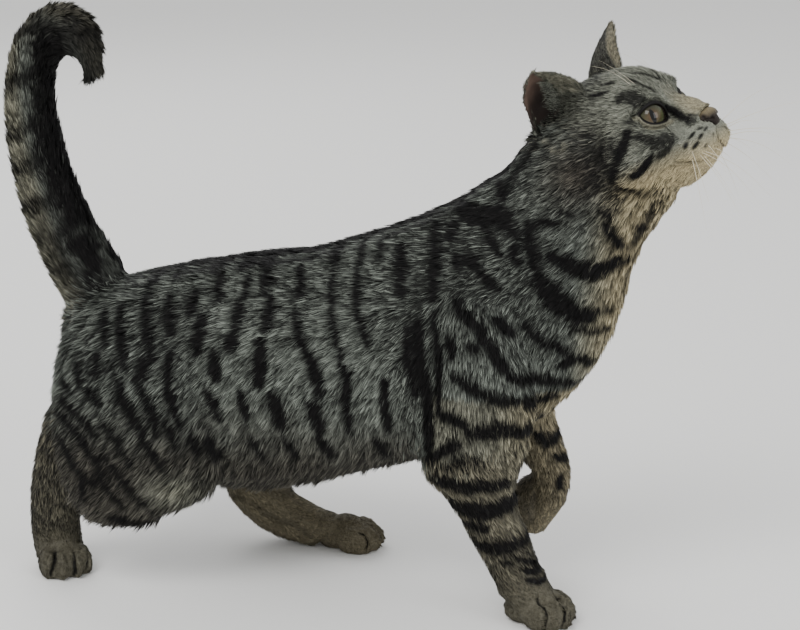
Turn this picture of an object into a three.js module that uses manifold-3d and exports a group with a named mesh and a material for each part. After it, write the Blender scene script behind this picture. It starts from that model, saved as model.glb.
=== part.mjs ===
// A walking short-haired tabby cat, life size, as a still display model.
// Millimetres, +X towards the nose, +Y to the cat's left, +Z up, paws on z = 0.
// The surface is the outline of the coat, out to the tips of the hair.
import * as THREE from 'three';
import { mergeVertices } from 'three/addons/utils/BufferGeometryUtils.js';
import Module from 'manifold-3d';

const wasm = await Module();
wasm.setup();

// ---------------------------------------------------------------- driving sizes

const GAP = 0.35;            // clear space left where two pieces meet
const FAR = 400;             // reach of the blocks that cut and split
const FINEST = 0.12;         // facets that stand out less than this are merged
const REACH = 110;           // further than any blended form reaches from its centre

const HEAD_YAW = 20;         // degrees, nose turned to the cat's right
const HEAD_PITCH = 25;       // degrees, nose raised
const HEAD_ROLL = 6;         // degrees, left side raised
const HEAD_AT = [170.5, -3, 331.5];   // midpoint between the eye openings

const EYE_RADIUS = 11;
const EYE_SPREAD = 19.5;     // half the distance between the two eye openings
const EYE_TURN = 24;         // degrees each eye looks outwards
const EYE_LIFT = 6;          // degrees each eye looks up from the muzzle line
const EYE_SET_BACK = 9.2;    // centre of the eyeball behind its opening
const EYE_OPENING = [10, 12, 9];  // half depth, half length and half height of the opening's hollow
const EYE_OPENING_AHEAD = 13.5;   // centre of the opening's round hollow ahead of the eyeball's centre

// each ear: middle of its root, its tip, and the degrees between straight ahead and its opening
const EARS = {
  right: { base: [-54, -28, 14.5], tip: [-48, -54, 52], opens: 57 },
  left: { base: [-44, 28, 18.5], tip: [-43, 54, 60], opens: 50 },
};
const EAR_HALF_WIDTH = 19;
const EAR_THICKNESS = 2.6;

const WHISKER_RADIUS = 0.3;
const WHISKER_COUNT = 4;     // on each side

const HEAD_DETAIL = 6;
const PAW_DETAIL = 3;

// ---------------------------------------------------------------- materials

const finish = (color, roughness) => new THREE.MeshStandardMaterial({ color, roughness, metalness: 0 });
const silverFur = () => finish(0x6d6e66, 0.95);
const darkFur = () => finish(0x34332f, 0.95);
const creamFur = () => finish(0x9a9482, 0.95);
const pawFur = () => finish(0x66645b, 0.95);
const earSkin = () => finish(0x4a3d35, 0.8);
const eyeGlass = () => finish(0x7c8046, 0.08);
const noseLeather = () => finish(0x3a2f2d, 0.5);
const whiskerHair = () => finish(0xe6e2d4, 0.5);

// ---------------------------------------------------------------- solids

/** Merges a closed geometry's shared corners and makes it a solid. */
function toSolid(geometry) {
  const bare = geometry.clone();
  for (const name of Object.keys(bare.attributes)) {
    if (name !== 'position') bare.deleteAttribute(name);
  }
  const merged = mergeVertices(bare, 1e-4);
  return new wasm.Manifold(new wasm.Mesh({
    numProp: 3,
    vertProperties: new Float32Array(merged.attributes.position.array),
    triVerts: new Uint32Array(merged.index.array),
  }));
}

/** Turns a solid back into a geometry. */
function toGeometry(solid) {
  const mesh = solid.getMesh();
  const geometry = new THREE.BufferGeometry();
  geometry.setAttribute('position', new THREE.BufferAttribute(new Float32Array(mesh.vertProperties), 3));
  geometry.setIndex(new THREE.BufferAttribute(new Uint32Array(mesh.triVerts), 1));
  geometry.computeVertexNormals();
  return geometry;
}

/** Keeps the biggest body of a solid, without the crumbs that a cut can leave. */
function biggest(solid) {
  return solid.decompose().reduce((best, body) => (body.volume() > best.volume() ? body : best));
}

/** A big block whose one face lies on the plane through a point, on the side its normal points to. */
function block(point, normal) {
  const geometry = new THREE.BoxGeometry(2 * FAR, 2 * FAR, FAR);
  const turn = new THREE.Quaternion().setFromUnitVectors(
    new THREE.Vector3(0, 0, 1),
    new THREE.Vector3(...normal).normalize(),
  );
  geometry.translate(0, 0, FAR / 2);
  geometry.applyQuaternion(turn);
  geometry.translate(...point);
  return toSolid(geometry);
}

/** Parts a solid by a thin cut: [the side the normal points to, the other side]. */
function part(solid, point, normal) {
  const unit = new THREE.Vector3(...normal).normalize();
  const shift = unit.clone().multiplyScalar(GAP / 2);
  const ahead = new THREE.Vector3(...point).add(shift).toArray();
  const behind = new THREE.Vector3(...point).sub(shift).toArray();
  return [
    solid.intersect(block(ahead, unit.toArray())),
    solid.intersect(block(behind, unit.clone().negate().toArray())),
  ];
}

const floorBlock = block([0, 0, 0], [0, 0, -1]);

/** Closes a grid of rings, each ring a list of points, into a geometry with a fan at each end. */
function closeRings(rings) {
  const sides = rings[0].length;
  const points = rings.flat();
  const centreOf = (ring) => ring
    .reduce((sum, point) => sum.add(point), new THREE.Vector3())
    .divideScalar(sides);
  const first = points.push(centreOf(rings[0])) - 1;
  const last = points.push(centreOf(rings[rings.length - 1])) - 1;
  const index = [];
  for (let ring = 0; ring + 1 < rings.length; ring += 1) {
    for (let side = 0; side < sides; side += 1) {
      const a = ring * sides + side;
      const b = ring * sides + ((side + 1) % sides);
      index.push(a, b, a + sides, b, b + sides, a + sides);
    }
  }
  const top = (rings.length - 1) * sides;
  for (let side = 0; side < sides; side += 1) {
    const next = (side + 1) % sides;
    index.push(first, next, side, last, top + side, top + next);
  }
  const geometry = new THREE.BufferGeometry().setFromPoints(points);
  geometry.setIndex(index);
  return geometry;
}

/**
 * A rounded form through a row of hoops. Each hoop is [front x, front z, back x, back z, y, half width]:
 * its two edge points in the side view, how far it lies from the middle plane, and its half width.
 */
function loft(hoops, { steps, sides, ends, grow = 0, fullness = 2.2 }) {
  const smooth = (points) => new THREE.CatmullRomCurve3(
    points.map((point) => new THREE.Vector3(...point)), false, 'catmullrom', 0.5,
  );
  const front = smooth(hoops.map(([x, z, , , y]) => [x, y, z]));
  const back = smooth(hoops.map(([, , x, z, y]) => [x, y, z]));
  const width = smooth(hoops.map((hoop, place) => [hoop[5], place, 0]));
  const frameAt = (t) => {
    const a = front.getPoint(t);
    const b = back.getPoint(t);
    const centre = a.clone().add(b).multiplyScalar(0.5);
    const high = a.clone().sub(b).multiplyScalar(0.5);
    return { centre, high, wide: width.getPoint(t).x };
  };
  const ring = ({ centre, high, wide }, scale, offset) => {
    const up = high.clone().normalize();
    const along = new THREE.Vector3(0, 1, 0).cross(up).normalize();
    const side = up.clone().cross(along).normalize();
    const halfHigh = (high.length() + grow) * scale;
    const halfWide = (wide + grow) * scale;
    return Array.from({ length: sides }, (_, k) => {
      const angle = (2 * Math.PI * k) / sides;
      const power = (value) => Math.sign(value) * Math.abs(value) ** (2 / fullness);
      return centre.clone()
        .addScaledVector(up, halfHigh * power(Math.cos(angle)))
        .addScaledVector(side, halfWide * power(Math.sin(angle)))
        .addScaledVector(along, offset);
    });
  };
  const rings = [];
  const domeSteps = 2;
  const travel = frameAt(1 / steps).centre.sub(frameAt(0).centre);
  const forward = new THREE.Vector3(0, 1, 0).cross(frameAt(0).high).dot(travel) > 0 ? 1 : -1;
  for (let k = domeSteps; k > 0; k -= 1) {
    const angle = (k / (domeSteps + 0.5)) * (Math.PI / 2);
    rings.push(ring(frameAt(0), Math.cos(angle), -forward * (ends[0] + grow) * Math.sin(angle)));
  }
  for (let k = 0; k <= steps; k += 1) rings.push(ring(frameAt(k / steps), 1, 0));
  for (let k = 1; k <= domeSteps; k += 1) {
    const angle = (k / (domeSteps + 0.5)) * (Math.PI / 2);
    rings.push(ring(frameAt(1), Math.cos(angle), forward * (ends[1] + grow) * Math.sin(angle)));
  }
  const geometry = closeRings(forward > 0 ? rings : rings.reverse());
  return facingOut(geometry);
}

/** Turns a closed geometry's faces round when they point inwards. */
function facingOut(geometry) {
  const position = geometry.attributes.position;
  const index = geometry.index.array;
  const corner = (k) => new THREE.Vector3().fromBufferAttribute(position, index[k]);
  let volume = 0;
  for (let k = 0; k < index.length; k += 3) {
    volume += corner(k).dot(corner(k + 1).cross(corner(k + 2)));
  }
  if (volume < 0) {
    for (let k = 0; k < index.length; k += 3) {
      [index[k], index[k + 1]] = [index[k + 1], index[k]];
    }
  }
  return geometry;
}

/**
 * One soft form around several egg shapes, as flesh lies over bone. Each egg is
 * [x, y, z, half length, half width, half height, pitch in degrees].
 */
function blend(eggs, { centre, detail, softness, grow = 0 }) {
  const turned = eggs.map(([x, y, z, a, b, c, pitch = 0, yaw = 0]) => ({
    at: new THREE.Vector3(x, y, z),
    half: new THREE.Vector3(a, b, c),
    back: new THREE.Quaternion().setFromEuler(
      new THREE.Euler(0, THREE.MathUtils.degToRad(-pitch), THREE.MathUtils.degToRad(yaw), 'ZYX'),
    ).invert(),
  }));
  const distance = (point) => {
    let sum = 0;
    for (const { at, half, back } of turned) {
      const local = point.clone().sub(at).applyQuaternion(back);
      const near = local.clone().divide(half).length();
      const slope = local.clone().divide(half).divide(half).length() || 1e-6;
      sum += Math.exp(-(near * (near - 1)) / slope / softness);
    }
    return -softness * Math.log(Math.max(sum, 1e-300));
  };
  const start = new THREE.Vector3(...centre);
  const bare = new THREE.IcosahedronGeometry(1, detail);
  bare.deleteAttribute('normal');
  bare.deleteAttribute('uv');
  const geometry = mergeVertices(bare, 1e-4);
  const position = geometry.attributes.position;
  const ray = new THREE.Vector3();
  for (let k = 0; k < position.count; k += 1) {
    ray.fromBufferAttribute(position, k).normalize();
    let outside = REACH;
    while (distance(start.clone().addScaledVector(ray, outside)) > grow) outside -= 2;
    let inside = outside;
    outside += 2;
    for (let step = 0; step < 18; step += 1) {
      const middle = (inside + outside) / 2;
      if (distance(start.clone().addScaledVector(ray, middle)) < grow) inside = middle;
      else outside = middle;
    }
    const point = start.clone().addScaledVector(ray, inside);
    position.setXYZ(k, point.x, point.y, point.z);
  }
  return geometry;
}

// ---------------------------------------------------------------- trunk and neck

// back x, z, then belly x, z, middle plane, half width, from the rump to the nape
const TRUNK = [
  [-219, 190, -229, 150, 0, 20],
  [-209, 198.5, -223.5, 108, 0, 38],
  [-188, 204, -196, 84, 0, 50],
  [-160, 212, -163, 71, 0, 57],
  [-125, 219.8, -127, 64, 0, 61],
  [-90, 226.5, -90, 65, 0, 62],
  [-55, 231.5, -52, 72, 0, 61],
  [-18, 244, -12, 84, 0, 58],
  [10, 255, 26, 92, 0, 54],
  [28, 263.5, 64, 103, 0, 50],
  [42, 271.5, 95, 122, 0, 45],
  [53, 279, 118.5, 146, 0, 41.5],
  [62, 285, 135, 170, 0, 39.5],
  [70, 291.5, 145.5, 199, 0, 38],
  [77, 301, 152, 227, 0, 37],
  [85, 312, 163, 251, 0, 36],
  [97, 322, 177, 270, 0, 34],
  [108, 328, 184.5, 282, 0, 30],
];
const TRUNK_FORM = { steps: 23, sides: 16, ends: [10, 6], fullness: 2.25 };

const NECK_CUT = { point: [88, 0, 240], normal: [0.72, 0, 0.69] };
const CHEST_CUT = { point: [-10, 0, 160], normal: [1, 0, 0] };
const RUMP_CUT = { point: [-128, 0, 150], normal: [1, 0, 0] };

// ---------------------------------------------------------------- tail

// one rim x, z, the other rim x, z, middle plane, half width, from the root to the tip
const TAIL = [
  [-184, 202, -229, 174, 0, 24],
  [-196, 217, -240, 194, 0, 23.5],
  [-208.5, 237, -251, 217, 0, 22],
  [-218, 257, -260, 240, 0, 21.5],
  [-226.5, 280, -267, 268, 0, 20.5],
  [-232, 302, -270, 296, 0, 20],
  [-234, 320, -270, 324, 0, 19.5],
  [-232.5, 335, -264.5, 352, 0, 19],
  [-227, 345, -252.5, 373, 0, 18.5],
  [-220, 347, -231, 384.5, 0, 17],
  [-216, 343, -211, 379.5, 0, 15],
  [-215, 339, -200.5, 364, 0, 12.5],
  [-214.5, 336, -200, 346, 0, 10.5],
];
const TAIL_FORM = { steps: 18, sides: 10, ends: [4, 6], fullness: 2 };
const TAIL_MIDDLE_CUT = { point: [-243, 0, 262], normal: [-0.3, 0, 0.95] };
const TAIL_TIP_CUT = { point: [-249, 0, 347], normal: [0.35, 0, 0.94] };

// ---------------------------------------------------------------- legs

const SHOULDER_FORM = { steps: 11, sides: 12, fullness: 2.2 };

// the standing right foreleg: front rim x, z, back rim x, z, y, half width
const RIGHT_FORELEG = [
  [86, 199, 36, 216, -32, 18],
  [98, 162, 27, 170, -36, 23],
  [98, 131, 19, 124, -37, 24],
  [91, 106, 22.5, 96, -37.5, 22],
  [86.5, 90, 36.5, 82, -38, 20],
  [88.5, 73, 48.5, 66, -38, 18],
  [96, 55, 58, 48, -38, 17],
  [102, 38, 67.5, 32, -38, 16.5],
  [107, 27, 74, 20, -38, 16.5],
  [113, 16, 85, 8, -38, 17],
];
// the lifted left foreleg, bent at the wrist
const LEFT_FORELEG = [
  [84, 189, 34, 204, 32, 18],
  [95, 154, 30, 159, 35, 22],
  [96, 130, 36, 120, 36, 21],
  [99, 111, 54, 98, 37, 18],
  [104.5, 95, 74, 83, 37, 16],
  [109, 79, 84, 70, 37, 15],
  [109, 64, 83, 59, 37, 14],
  [103, 50, 77, 47, 37, 14],
  [95, 38, 71, 37, 37, 14.5],
];
// the standing right hind leg: thigh, then shank and instep
const RIGHT_THIGH = [
  [-122, 196, -203, 192, -24, 18],
  [-106, 172, -219, 176, -33, 28],
  [-99, 142, -227, 152, -39, 30],
  [-98, 112, -229, 124, -43, 28],
  [-103, 86, -226, 95, -46, 25],
  [-117, 67, -220, 68, -47, 22],
  [-145, 54, -206, 50, -47, 18],
];
const RIGHT_SHANK = [
  [-180, 122, -221, 144, -42, 17],
  [-193, 97, -232, 115, -40, 17],
  [-206, 73, -242.5, 88, -36, 16.5],
  [-215, 53, -249.5, 64, -30, 15.5],
  [-219, 37, -253, 43, -26, 15],
  [-221, 23, -254.5, 23, -22, 15],
  [-219, 8, -252, 6, -21, 16],
];
// the left hind leg, set well forward with its heel just raised
const LEFT_THIGH = [
  [-122, 188, -206, 186, 24, 20],
  [-100, 172, -216, 170, 33, 28],
  [-84, 150, -212, 144, 39, 29],
  [-70, 122, -196, 112, 44, 27],
  [-60, 98, -168, 80, 49, 24],
  [-62, 82, -140, 64, 52, 20],
];
const LEFT_SHANK = [
  [-68, 99, -112, 106, 48, 18],
  [-80, 79, -127, 81, 51, 18],
  [-88, 63, -138, 57, 54, 17],
  [-94, 48, -142, 38, 55, 15.5],
  [-90, 37, -131, 21, 56, 15],
  [-76, 29, -110, 5, 57, 15],
  [-60, 22, -80, -1, 57, 15.5],
];
const HIND_FORM = { steps: 9, sides: 12, fullness: 2.2 };

/**
 * A paw at its own origin, toes along +X, sole on z = 0: instep, sole, four toes.
 * The two middle toes reach furthest.
 */
function pawForm({ length, width, height }) {
  const toe = 0.155 * width;
  const rows = [
    [0.86 * length, 0.132 * width],
    [0.76 * length, 0.36 * width],
  ];
  const toes = rows.flatMap(([reach, spread]) => [-spread, spread].map((y) => [
    reach - 0.26 * length, y, 0.36 * height, 0.3 * length, toe, 0.44 * height, -8,
  ]));
  return blend([
    [0.3 * length, 0, 0.5 * height, 0.34 * length, 0.36 * width, 0.52 * height, -14],
    [0.12 * length, 0, 0.36 * height, 0.3 * length, 0.32 * width, 0.4 * height],
    ...toes,
  ], { centre: [0.4 * length, 0, 0.42 * height], detail: PAW_DETAIL, softness: 1.1 });
}

/** Sets a paw down: its origin, its heading in degrees from +X, and how far the toes dip. */
function placePaw(size, at, heading, dip = 0) {
  const geometry = pawForm(size);
  geometry.translate(0, 0, -size.sink);
  geometry.rotateY(THREE.MathUtils.degToRad(dip));
  geometry.rotateZ(THREE.MathUtils.degToRad(heading));
  geometry.translate(...at);
  return toSolid(geometry);
}

const FORE_PAW = { length: 46, width: 36, height: 26, sink: 1.6 };
const LIFTED_PAW = { ...FORE_PAW, sink: 12 };
const HIND_PAW = { length: 46, width: 35, height: 25, sink: 1.6 };

// where each paw stands or hangs: heading and dip in degrees; the cuts are a point and a normal
const FORE_PAWS = {
  right: {
    size: FORE_PAW,
    at: [86, -38, 0],
    heading: -9,
    dip: 0,
    elbow: [[60, -38, 112], [-0.25, 0, 1]],
    wrist: [[90, -38, 30], [-0.4, 0, 0.92]],
  },
  left: {
    size: LIFTED_PAW,
    at: [86, 37, 66],
    heading: 0,
    dip: 112,
    elbow: [[70, 37, 118], [-0.35, 0, 1]],
    wrist: [[90, 37, 62], [0.2, 0, 0.98]],
  },
};
const HIND_PAWS = {
  right: { at: [-240, -18, 0], heading: -52, ankle: [[-236, -24, 29], [0, 0, 1]] },
  left: { at: [-67, 57, 0], heading: 4, ankle: [[-72, 57, 16], [-0.96, 0, 0.28]] },
};

// ---------------------------------------------------------------- head

// in the head's own frame: x ahead, y left, z up, from the midpoint between the eye openings
const both = (x, y, ...rest) => [[x, y, ...rest], [x, -y, ...rest]];
const SKULL = [
  [-44, 0, 3.5, 35, 34, 32],           // braincase
  [-21, 0, 12, 23, 23, 20, -16],       // forehead
  ...both(-6, 15, 9.5, 9, 9.5, 8),     // brows
  ...both(-18, 26, 0, 12, 10, 12),     // temples
  ...both(-9, 16, -1, 7.5, 8.5, 7.5),  // orbits
  ...both(-28, 27, -20, 21, 18, 21),   // cheeks
  ...both(-6, 22, -16, 12, 11, 10),    // under the eyes
  [7, 0, -5, 19, 8, 9, -26],           // bridge of the nose
  [14, 0, -15, 9, 8, 7],               // nose
  ...both(13, 10.5, -28, 12, 10, 10.5),    // whisker pads
  [2, 0, -37.5, 12, 10.5, 8],          // chin
  [-14, 0, -35, 22, 20, 16],           // jaw
];
const SKULL_FORM = { centre: [-16, 0, -10], detail: HEAD_DETAIL, softness: 3.6 };

const NOSE = [
  [22, 0, -13, 5, 5.5, 3.8],
  ...both(21.5, 4.8, -14.5, 4.8, 3.4, 3.8),
  [24.5, 0, -18.5, 3.6, 2.6, 4],
];
const NOSE_FORM = { centre: [22, 0, -15], detail: 2, softness: 0.8 };

/** The eyeball of one side: +1 left, -1 right. */
function eyeball(side, radius) {
  const geometry = new THREE.SphereGeometry(radius, 12, 8);
  const turn = THREE.MathUtils.degToRad(EYE_TURN);
  const lift = THREE.MathUtils.degToRad(EYE_LIFT);
  geometry.translate(
    -EYE_SET_BACK * Math.cos(turn) * Math.cos(lift),
    side * (EYE_SPREAD - EYE_SET_BACK * Math.sin(turn) * Math.cos(lift)),
    -EYE_SET_BACK * Math.sin(lift),
  );
  return geometry;
}

/** The room in front of an eyeball that the lids leave open. */
function eyeOpening(side) {
  const turn = THREE.MathUtils.degToRad(EYE_TURN);
  const lift = THREE.MathUtils.degToRad(EYE_LIFT);
  const ahead = EYE_OPENING_AHEAD - EYE_SET_BACK;
  const geometry = new THREE.SphereGeometry(1, 12, 8);
  geometry.scale(...EYE_OPENING);
  geometry.rotateZ(side * turn);
  geometry.translate(
    ahead * Math.cos(turn) * Math.cos(lift),
    side * (EYE_SPREAD + ahead * Math.sin(turn) * Math.cos(lift)),
    ahead * Math.sin(lift),
  );
  return geometry;
}

/** A cupped, pointed ear of one side, as a closed shell that starts inside the head. */
function earShell(side, ear) {
  const base = new THREE.Vector3(...ear.base);
  const axis = new THREE.Vector3(...ear.tip).sub(base);
  const opens = THREE.MathUtils.degToRad(ear.opens);
  const open = new THREE.Vector3(Math.cos(opens), side * Math.sin(opens), 0);
  open.addScaledVector(axis, -open.dot(axis) / axis.lengthSq()).normalize();
  const across = axis.clone().cross(open).normalize();
  const rows = 7;       // facets from root to tip
  const columns = 6;    // facets from edge to edge
  const rootDepth = 0.3;  // share of the ear's length that is sunk in the head
  const middle = (u, v, offset) => {
    const lengthwise = Math.max(u, 0);
    const halfWidth = EAR_HALF_WIDTH * (1 - lengthwise ** 2.1) ** 0.9 + 0.8;
    const bend = THREE.MathUtils.degToRad(82 - 46 * lengthwise);
    const radius = halfWidth / Math.sin(bend);
    const angle = v * bend;
    const lean = 3 * Math.sin(Math.PI * lengthwise);
    return base.clone()
      .addScaledVector(axis, u)
      .addScaledVector(across, (radius + offset) * Math.sin(angle))
      .addScaledVector(open, -(radius + offset) * Math.cos(angle) + radius * Math.cos(bend) - lean);
  };
  const rings = [];
  for (let row = 0; row <= rows; row += 1) {
    const u = -rootDepth + (1 + rootDepth) * (row / rows) ** 0.85;
    const ring = [];
    for (let column = 0; column <= columns; column += 1) {
      ring.push(middle(u, 1 - (2 * column) / columns, EAR_THICKNESS / 2));
    }
    for (let column = 0; column <= columns; column += 1) {
      ring.push(middle(u, -1 + (2 * column) / columns, -EAR_THICKNESS / 2));
    }
    rings.push(ring);
  }
  return facingOut(closeRings(rings));
}

/** One whisker: a thin rod that sweeps out of the whisker pad. */
function whisker(side, place) {
  const share = place / (WHISKER_COUNT - 1);
  const root = new THREE.Vector3(20 - 5 * share, side * (12 + 5 * share), -24 - 9 * share);
  const aim = new THREE.Vector3(0.86 - 0.14 * share, side * (0.5 + 0.1 * share), 0.26 - 0.68 * share).normalize();
  const length = 66 - 10 * Math.abs(share - 0.4);
  const sweep = new THREE.QuadraticBezierCurve3(
    root,
    root.clone().addScaledVector(aim, length * 0.55),
    root.clone().addScaledVector(aim, length).add(new THREE.Vector3(-3, side * 5, -5)),
  );
  const section = new THREE.Shape().absarc(0, 0, WHISKER_RADIUS, 0, 2 * Math.PI);
  return new THREE.ExtrudeGeometry(section, { steps: 4, curveSegments: 2, extrudePath: sweep });
}

// ---------------------------------------------------------------- putting it together

const cat = new THREE.Group();
const head = new THREE.Group();
head.position.set(...HEAD_AT);
head.setRotationFromMatrix(new THREE.Matrix4()
  .makeRotationZ(THREE.MathUtils.degToRad(-HEAD_YAW))
  .multiply(new THREE.Matrix4().makeRotationY(THREE.MathUtils.degToRad(-HEAD_PITCH)))
  .multiply(new THREE.Matrix4().makeRotationX(THREE.MathUtils.degToRad(HEAD_ROLL))));
head.updateMatrix();
cat.add(head);

function add(group, name, solid, material) {
  const mesh = new THREE.Mesh(toGeometry(biggest(solid).simplify(FINEST)), material);
  mesh.name = name;
  group.add(mesh);
}

/** Moves a solid between the head's frame and the cat's frame. */
const fromHead = (solid) => solid.transform(head.matrix.toArray());
const intoHead = (solid) => solid.transform(head.matrix.clone().invert().toArray());

const trunkSolid = (grow) => toSolid(loft(TRUNK, { ...TRUNK_FORM, grow }));
const tailSolid = (grow) => toSolid(loft(TAIL, { ...TAIL_FORM, grow }));
const skullSolid = (grow) => toSolid(blend(SKULL, { ...SKULL_FORM, grow }));

// head, nose, eyes, ears and whiskers, in the head's frame
const skull = skullSolid(0);
const skullGrown = skullSolid(GAP);
const trunkInHead = intoHead(trunkSolid(GAP));
const nose = toSolid(blend(NOSE, NOSE_FORM));
let headSolid = skull.subtract(toSolid(blend(NOSE, { ...NOSE_FORM, grow: GAP })));
for (const [side, word] of [[-1, 'right'], [1, 'left']]) {
  headSolid = headSolid
    .subtract(toSolid(eyeball(side, EYE_RADIUS + GAP)))
    .subtract(toSolid(eyeOpening(side)));
  add(head, `eye_${word}`, toSolid(eyeball(side, EYE_RADIUS)), eyeGlass());
  add(head, `ear_${word}`, toSolid(earShell(side, EARS[word])).subtract(skullGrown).subtract(trunkInHead), earSkin());
  for (let place = 0; place < WHISKER_COUNT; place += 1) {
    const rod = toSolid(whisker(side, place)).subtract(skullGrown);
    add(head, `whisker_${word}_${place + 1}`, rod, whiskerHair());
  }
}
add(head, 'head', headSolid, silverFur());
add(head, 'nose', nose, noseLeather());

// trunk and neck, less the room that the head, tail and legs take
const legs = [
  { name: 'foreleg_right', hoops: RIGHT_FORELEG, form: { ...SHOULDER_FORM, ends: [8, 4] } },
  { name: 'foreleg_left', hoops: LEFT_FORELEG, form: { ...SHOULDER_FORM, ends: [8, 6] } },
  { name: 'thigh_right', hoops: RIGHT_THIGH, form: { ...HIND_FORM, ends: [8, 9] } },
  { name: 'thigh_left', hoops: LEFT_THIGH, form: { ...HIND_FORM, ends: [8, 9] } },
];
const shanks = [
  { name: 'shank_right', hoops: RIGHT_SHANK, form: { ...HIND_FORM, ends: [6, 4] } },
  { name: 'shank_left', hoops: LEFT_SHANK, form: { ...HIND_FORM, ends: [6, 4] } },
];
const limb = ({ hoops, form }, grow = 0) => toSolid(loft(hoops, { ...form, grow }));
let trunk = trunkSolid(0).subtract(fromHead(skullGrown)).subtract(tailSolid(GAP));
for (const leg of [...legs, ...shanks]) trunk = trunk.subtract(limb(leg, GAP));
const [neck, body] = part(trunk, NECK_CUT.point, NECK_CUT.normal);
const [chest, rear] = part(body, CHEST_CUT.point, CHEST_CUT.normal);
const [belly, rump] = part(rear, RUMP_CUT.point, RUMP_CUT.normal);
add(cat, 'neck', neck, creamFur());
add(cat, 'chest', chest, silverFur());
add(cat, 'belly', belly, silverFur());
add(cat, 'rump', rump, silverFur());

// tail, less the room that the thighs take
let tail = tailSolid(0);
for (const thigh of legs.slice(2)) tail = tail.subtract(limb(thigh, GAP));
const [tailUpper, tailBase] = part(tail, TAIL_MIDDLE_CUT.point, TAIL_MIDDLE_CUT.normal);
const tipRegion = part(tailUpper, TAIL_TIP_CUT.point, TAIL_TIP_CUT.normal);
add(cat, 'tail_base', tailBase, darkFur());
add(cat, 'tail_middle', tipRegion[1], darkFur());
add(cat, 'tail_tip', tipRegion[0], darkFur());

// forelegs: upper arm, forearm, paw
for (const [k, word] of ['right', 'left'].entries()) {
  const { size, at, heading, dip, elbow, wrist } = FORE_PAWS[word];
  const foreleg = limb(legs[k]).add(placePaw(size, at, heading, dip)).subtract(floorBlock);
  const [upper, lower] = part(foreleg, ...elbow);
  const [forearm, paw] = part(lower, ...wrist);
  add(cat, `upper_arm_${word}`, upper, silverFur());
  add(cat, `forearm_${word}`, forearm, silverFur());
  add(cat, `paw_fore_${word}`, paw, pawFur());
}

// hind legs: thigh, shank with instep, paw
for (const [k, word] of ['right', 'left'].entries()) {
  const { at, heading, ankle } = HIND_PAWS[word];
  const thigh = limb(legs[2 + k]);
  const lower = limb(shanks[k])
    .add(placePaw(HIND_PAW, at, heading))
    .subtract(floorBlock)
    .subtract(limb(legs[2 + k], GAP));
  const [shank, paw] = part(lower, ...ankle);
  add(cat, `thigh_${word}`, thigh, silverFur());
  add(cat, `shank_${word}`, shank, silverFur());
  add(cat, `paw_hind_${word}`, paw, pawFur());
}

// the whole model stands centred over its own footprint
const box = new THREE.Box3().setFromObject(cat);
const middle = box.getCenter(new THREE.Vector3());
cat.position.set(-middle.x, -middle.y, 0);

export default cat;
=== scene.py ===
"""A life-size short-haired silver tabby cat, walking with its head raised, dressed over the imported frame.

One skin covers the flesh, a coat of solid blades of hair lies on it, and the eyes, lid rims, nose
leather and whiskers are pieces of their own. Sizes are in millimetres, but for the stage's in metres.
"""
import math

import bmesh
import bpy
import numpy as np
from mathutils import Matrix, Vector
from mathutils.bvhtree import BVHTree


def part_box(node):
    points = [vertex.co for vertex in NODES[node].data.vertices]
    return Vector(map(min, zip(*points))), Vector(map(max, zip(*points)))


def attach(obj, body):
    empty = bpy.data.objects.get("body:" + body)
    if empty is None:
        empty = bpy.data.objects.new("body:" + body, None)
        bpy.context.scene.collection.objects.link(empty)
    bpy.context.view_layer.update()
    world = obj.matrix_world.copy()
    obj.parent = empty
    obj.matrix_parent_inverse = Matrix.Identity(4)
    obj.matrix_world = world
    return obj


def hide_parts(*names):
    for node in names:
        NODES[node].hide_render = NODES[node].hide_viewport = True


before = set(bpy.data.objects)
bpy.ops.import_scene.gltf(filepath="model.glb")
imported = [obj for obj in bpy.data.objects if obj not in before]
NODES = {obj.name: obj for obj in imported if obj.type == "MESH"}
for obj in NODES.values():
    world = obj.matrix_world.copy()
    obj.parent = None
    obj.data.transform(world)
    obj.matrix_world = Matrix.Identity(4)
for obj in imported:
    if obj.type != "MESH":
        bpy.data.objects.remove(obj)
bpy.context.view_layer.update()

bl_info = {
    "name": "Silver tabby cat",
    "version": (1, 0, 0),
    "blender": (4, 5, 0),
    "location": "View3D > Sidebar > Cat",
    "description": "Builds the skin, coat, eyes and whiskers of a walking silver tabby cat",
    "category": "Object",
}

MM = 0.001
SIGN = {"right": -1, "left": 1}     # the sign of y on each side
WORK = {}           # what one operator hands to the next: the skin, its fields and its search trees


# ---------------------------------------------------------------- colours

def linear(hex_colour):
    """An sRGB hex colour as linear red, green and blue."""
    shares = [int(hex_colour[k:k + 2], 16) / 255 for k in (1, 3, 5)]
    return tuple(c / 12.92 if c <= 0.04045 else ((c + 0.055) / 1.055) ** 2.4 for c in shares)


def colour_prop(name, description, hex_colour):
    return bpy.props.FloatVectorProperty(
        name=name, description=description, default=linear(hex_colour),
        subtype="COLOR", size=3, min=0, max=1,
    )


def size_prop(name, description, millimetres):
    return bpy.props.FloatProperty(
        name=name, description=description, default=millimetres * MM,
        subtype="DISTANCE", unit="LENGTH", min=0,
    )


class CatSizes(bpy.types.PropertyGroup):
    """Sizes a user may change"""
    skin_step: size_prop("Skin step", "Side of the skin's faces before it is thinned", 1.3)
    hair_width: size_prop("Hair width", "Width of one blade of the body coat", 0.58)
    whisker_root: size_prop("Whisker root", "Thickness of a whisker at its root", 0.36)
    lid_rim: size_prop("Lid rim", "Half thickness of the dark edge of the eyelids", 0.55)
    coat_faces: bpy.props.IntProperty(
        name="Coat faces", description="Most triangles in one piece of the coat", default=190000, min=1000,
    )
    coat_length: bpy.props.FloatProperty(
        name="Coat length", description="Scales the length of all hair", default=1.0, min=0.2, max=3,
    )


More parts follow.
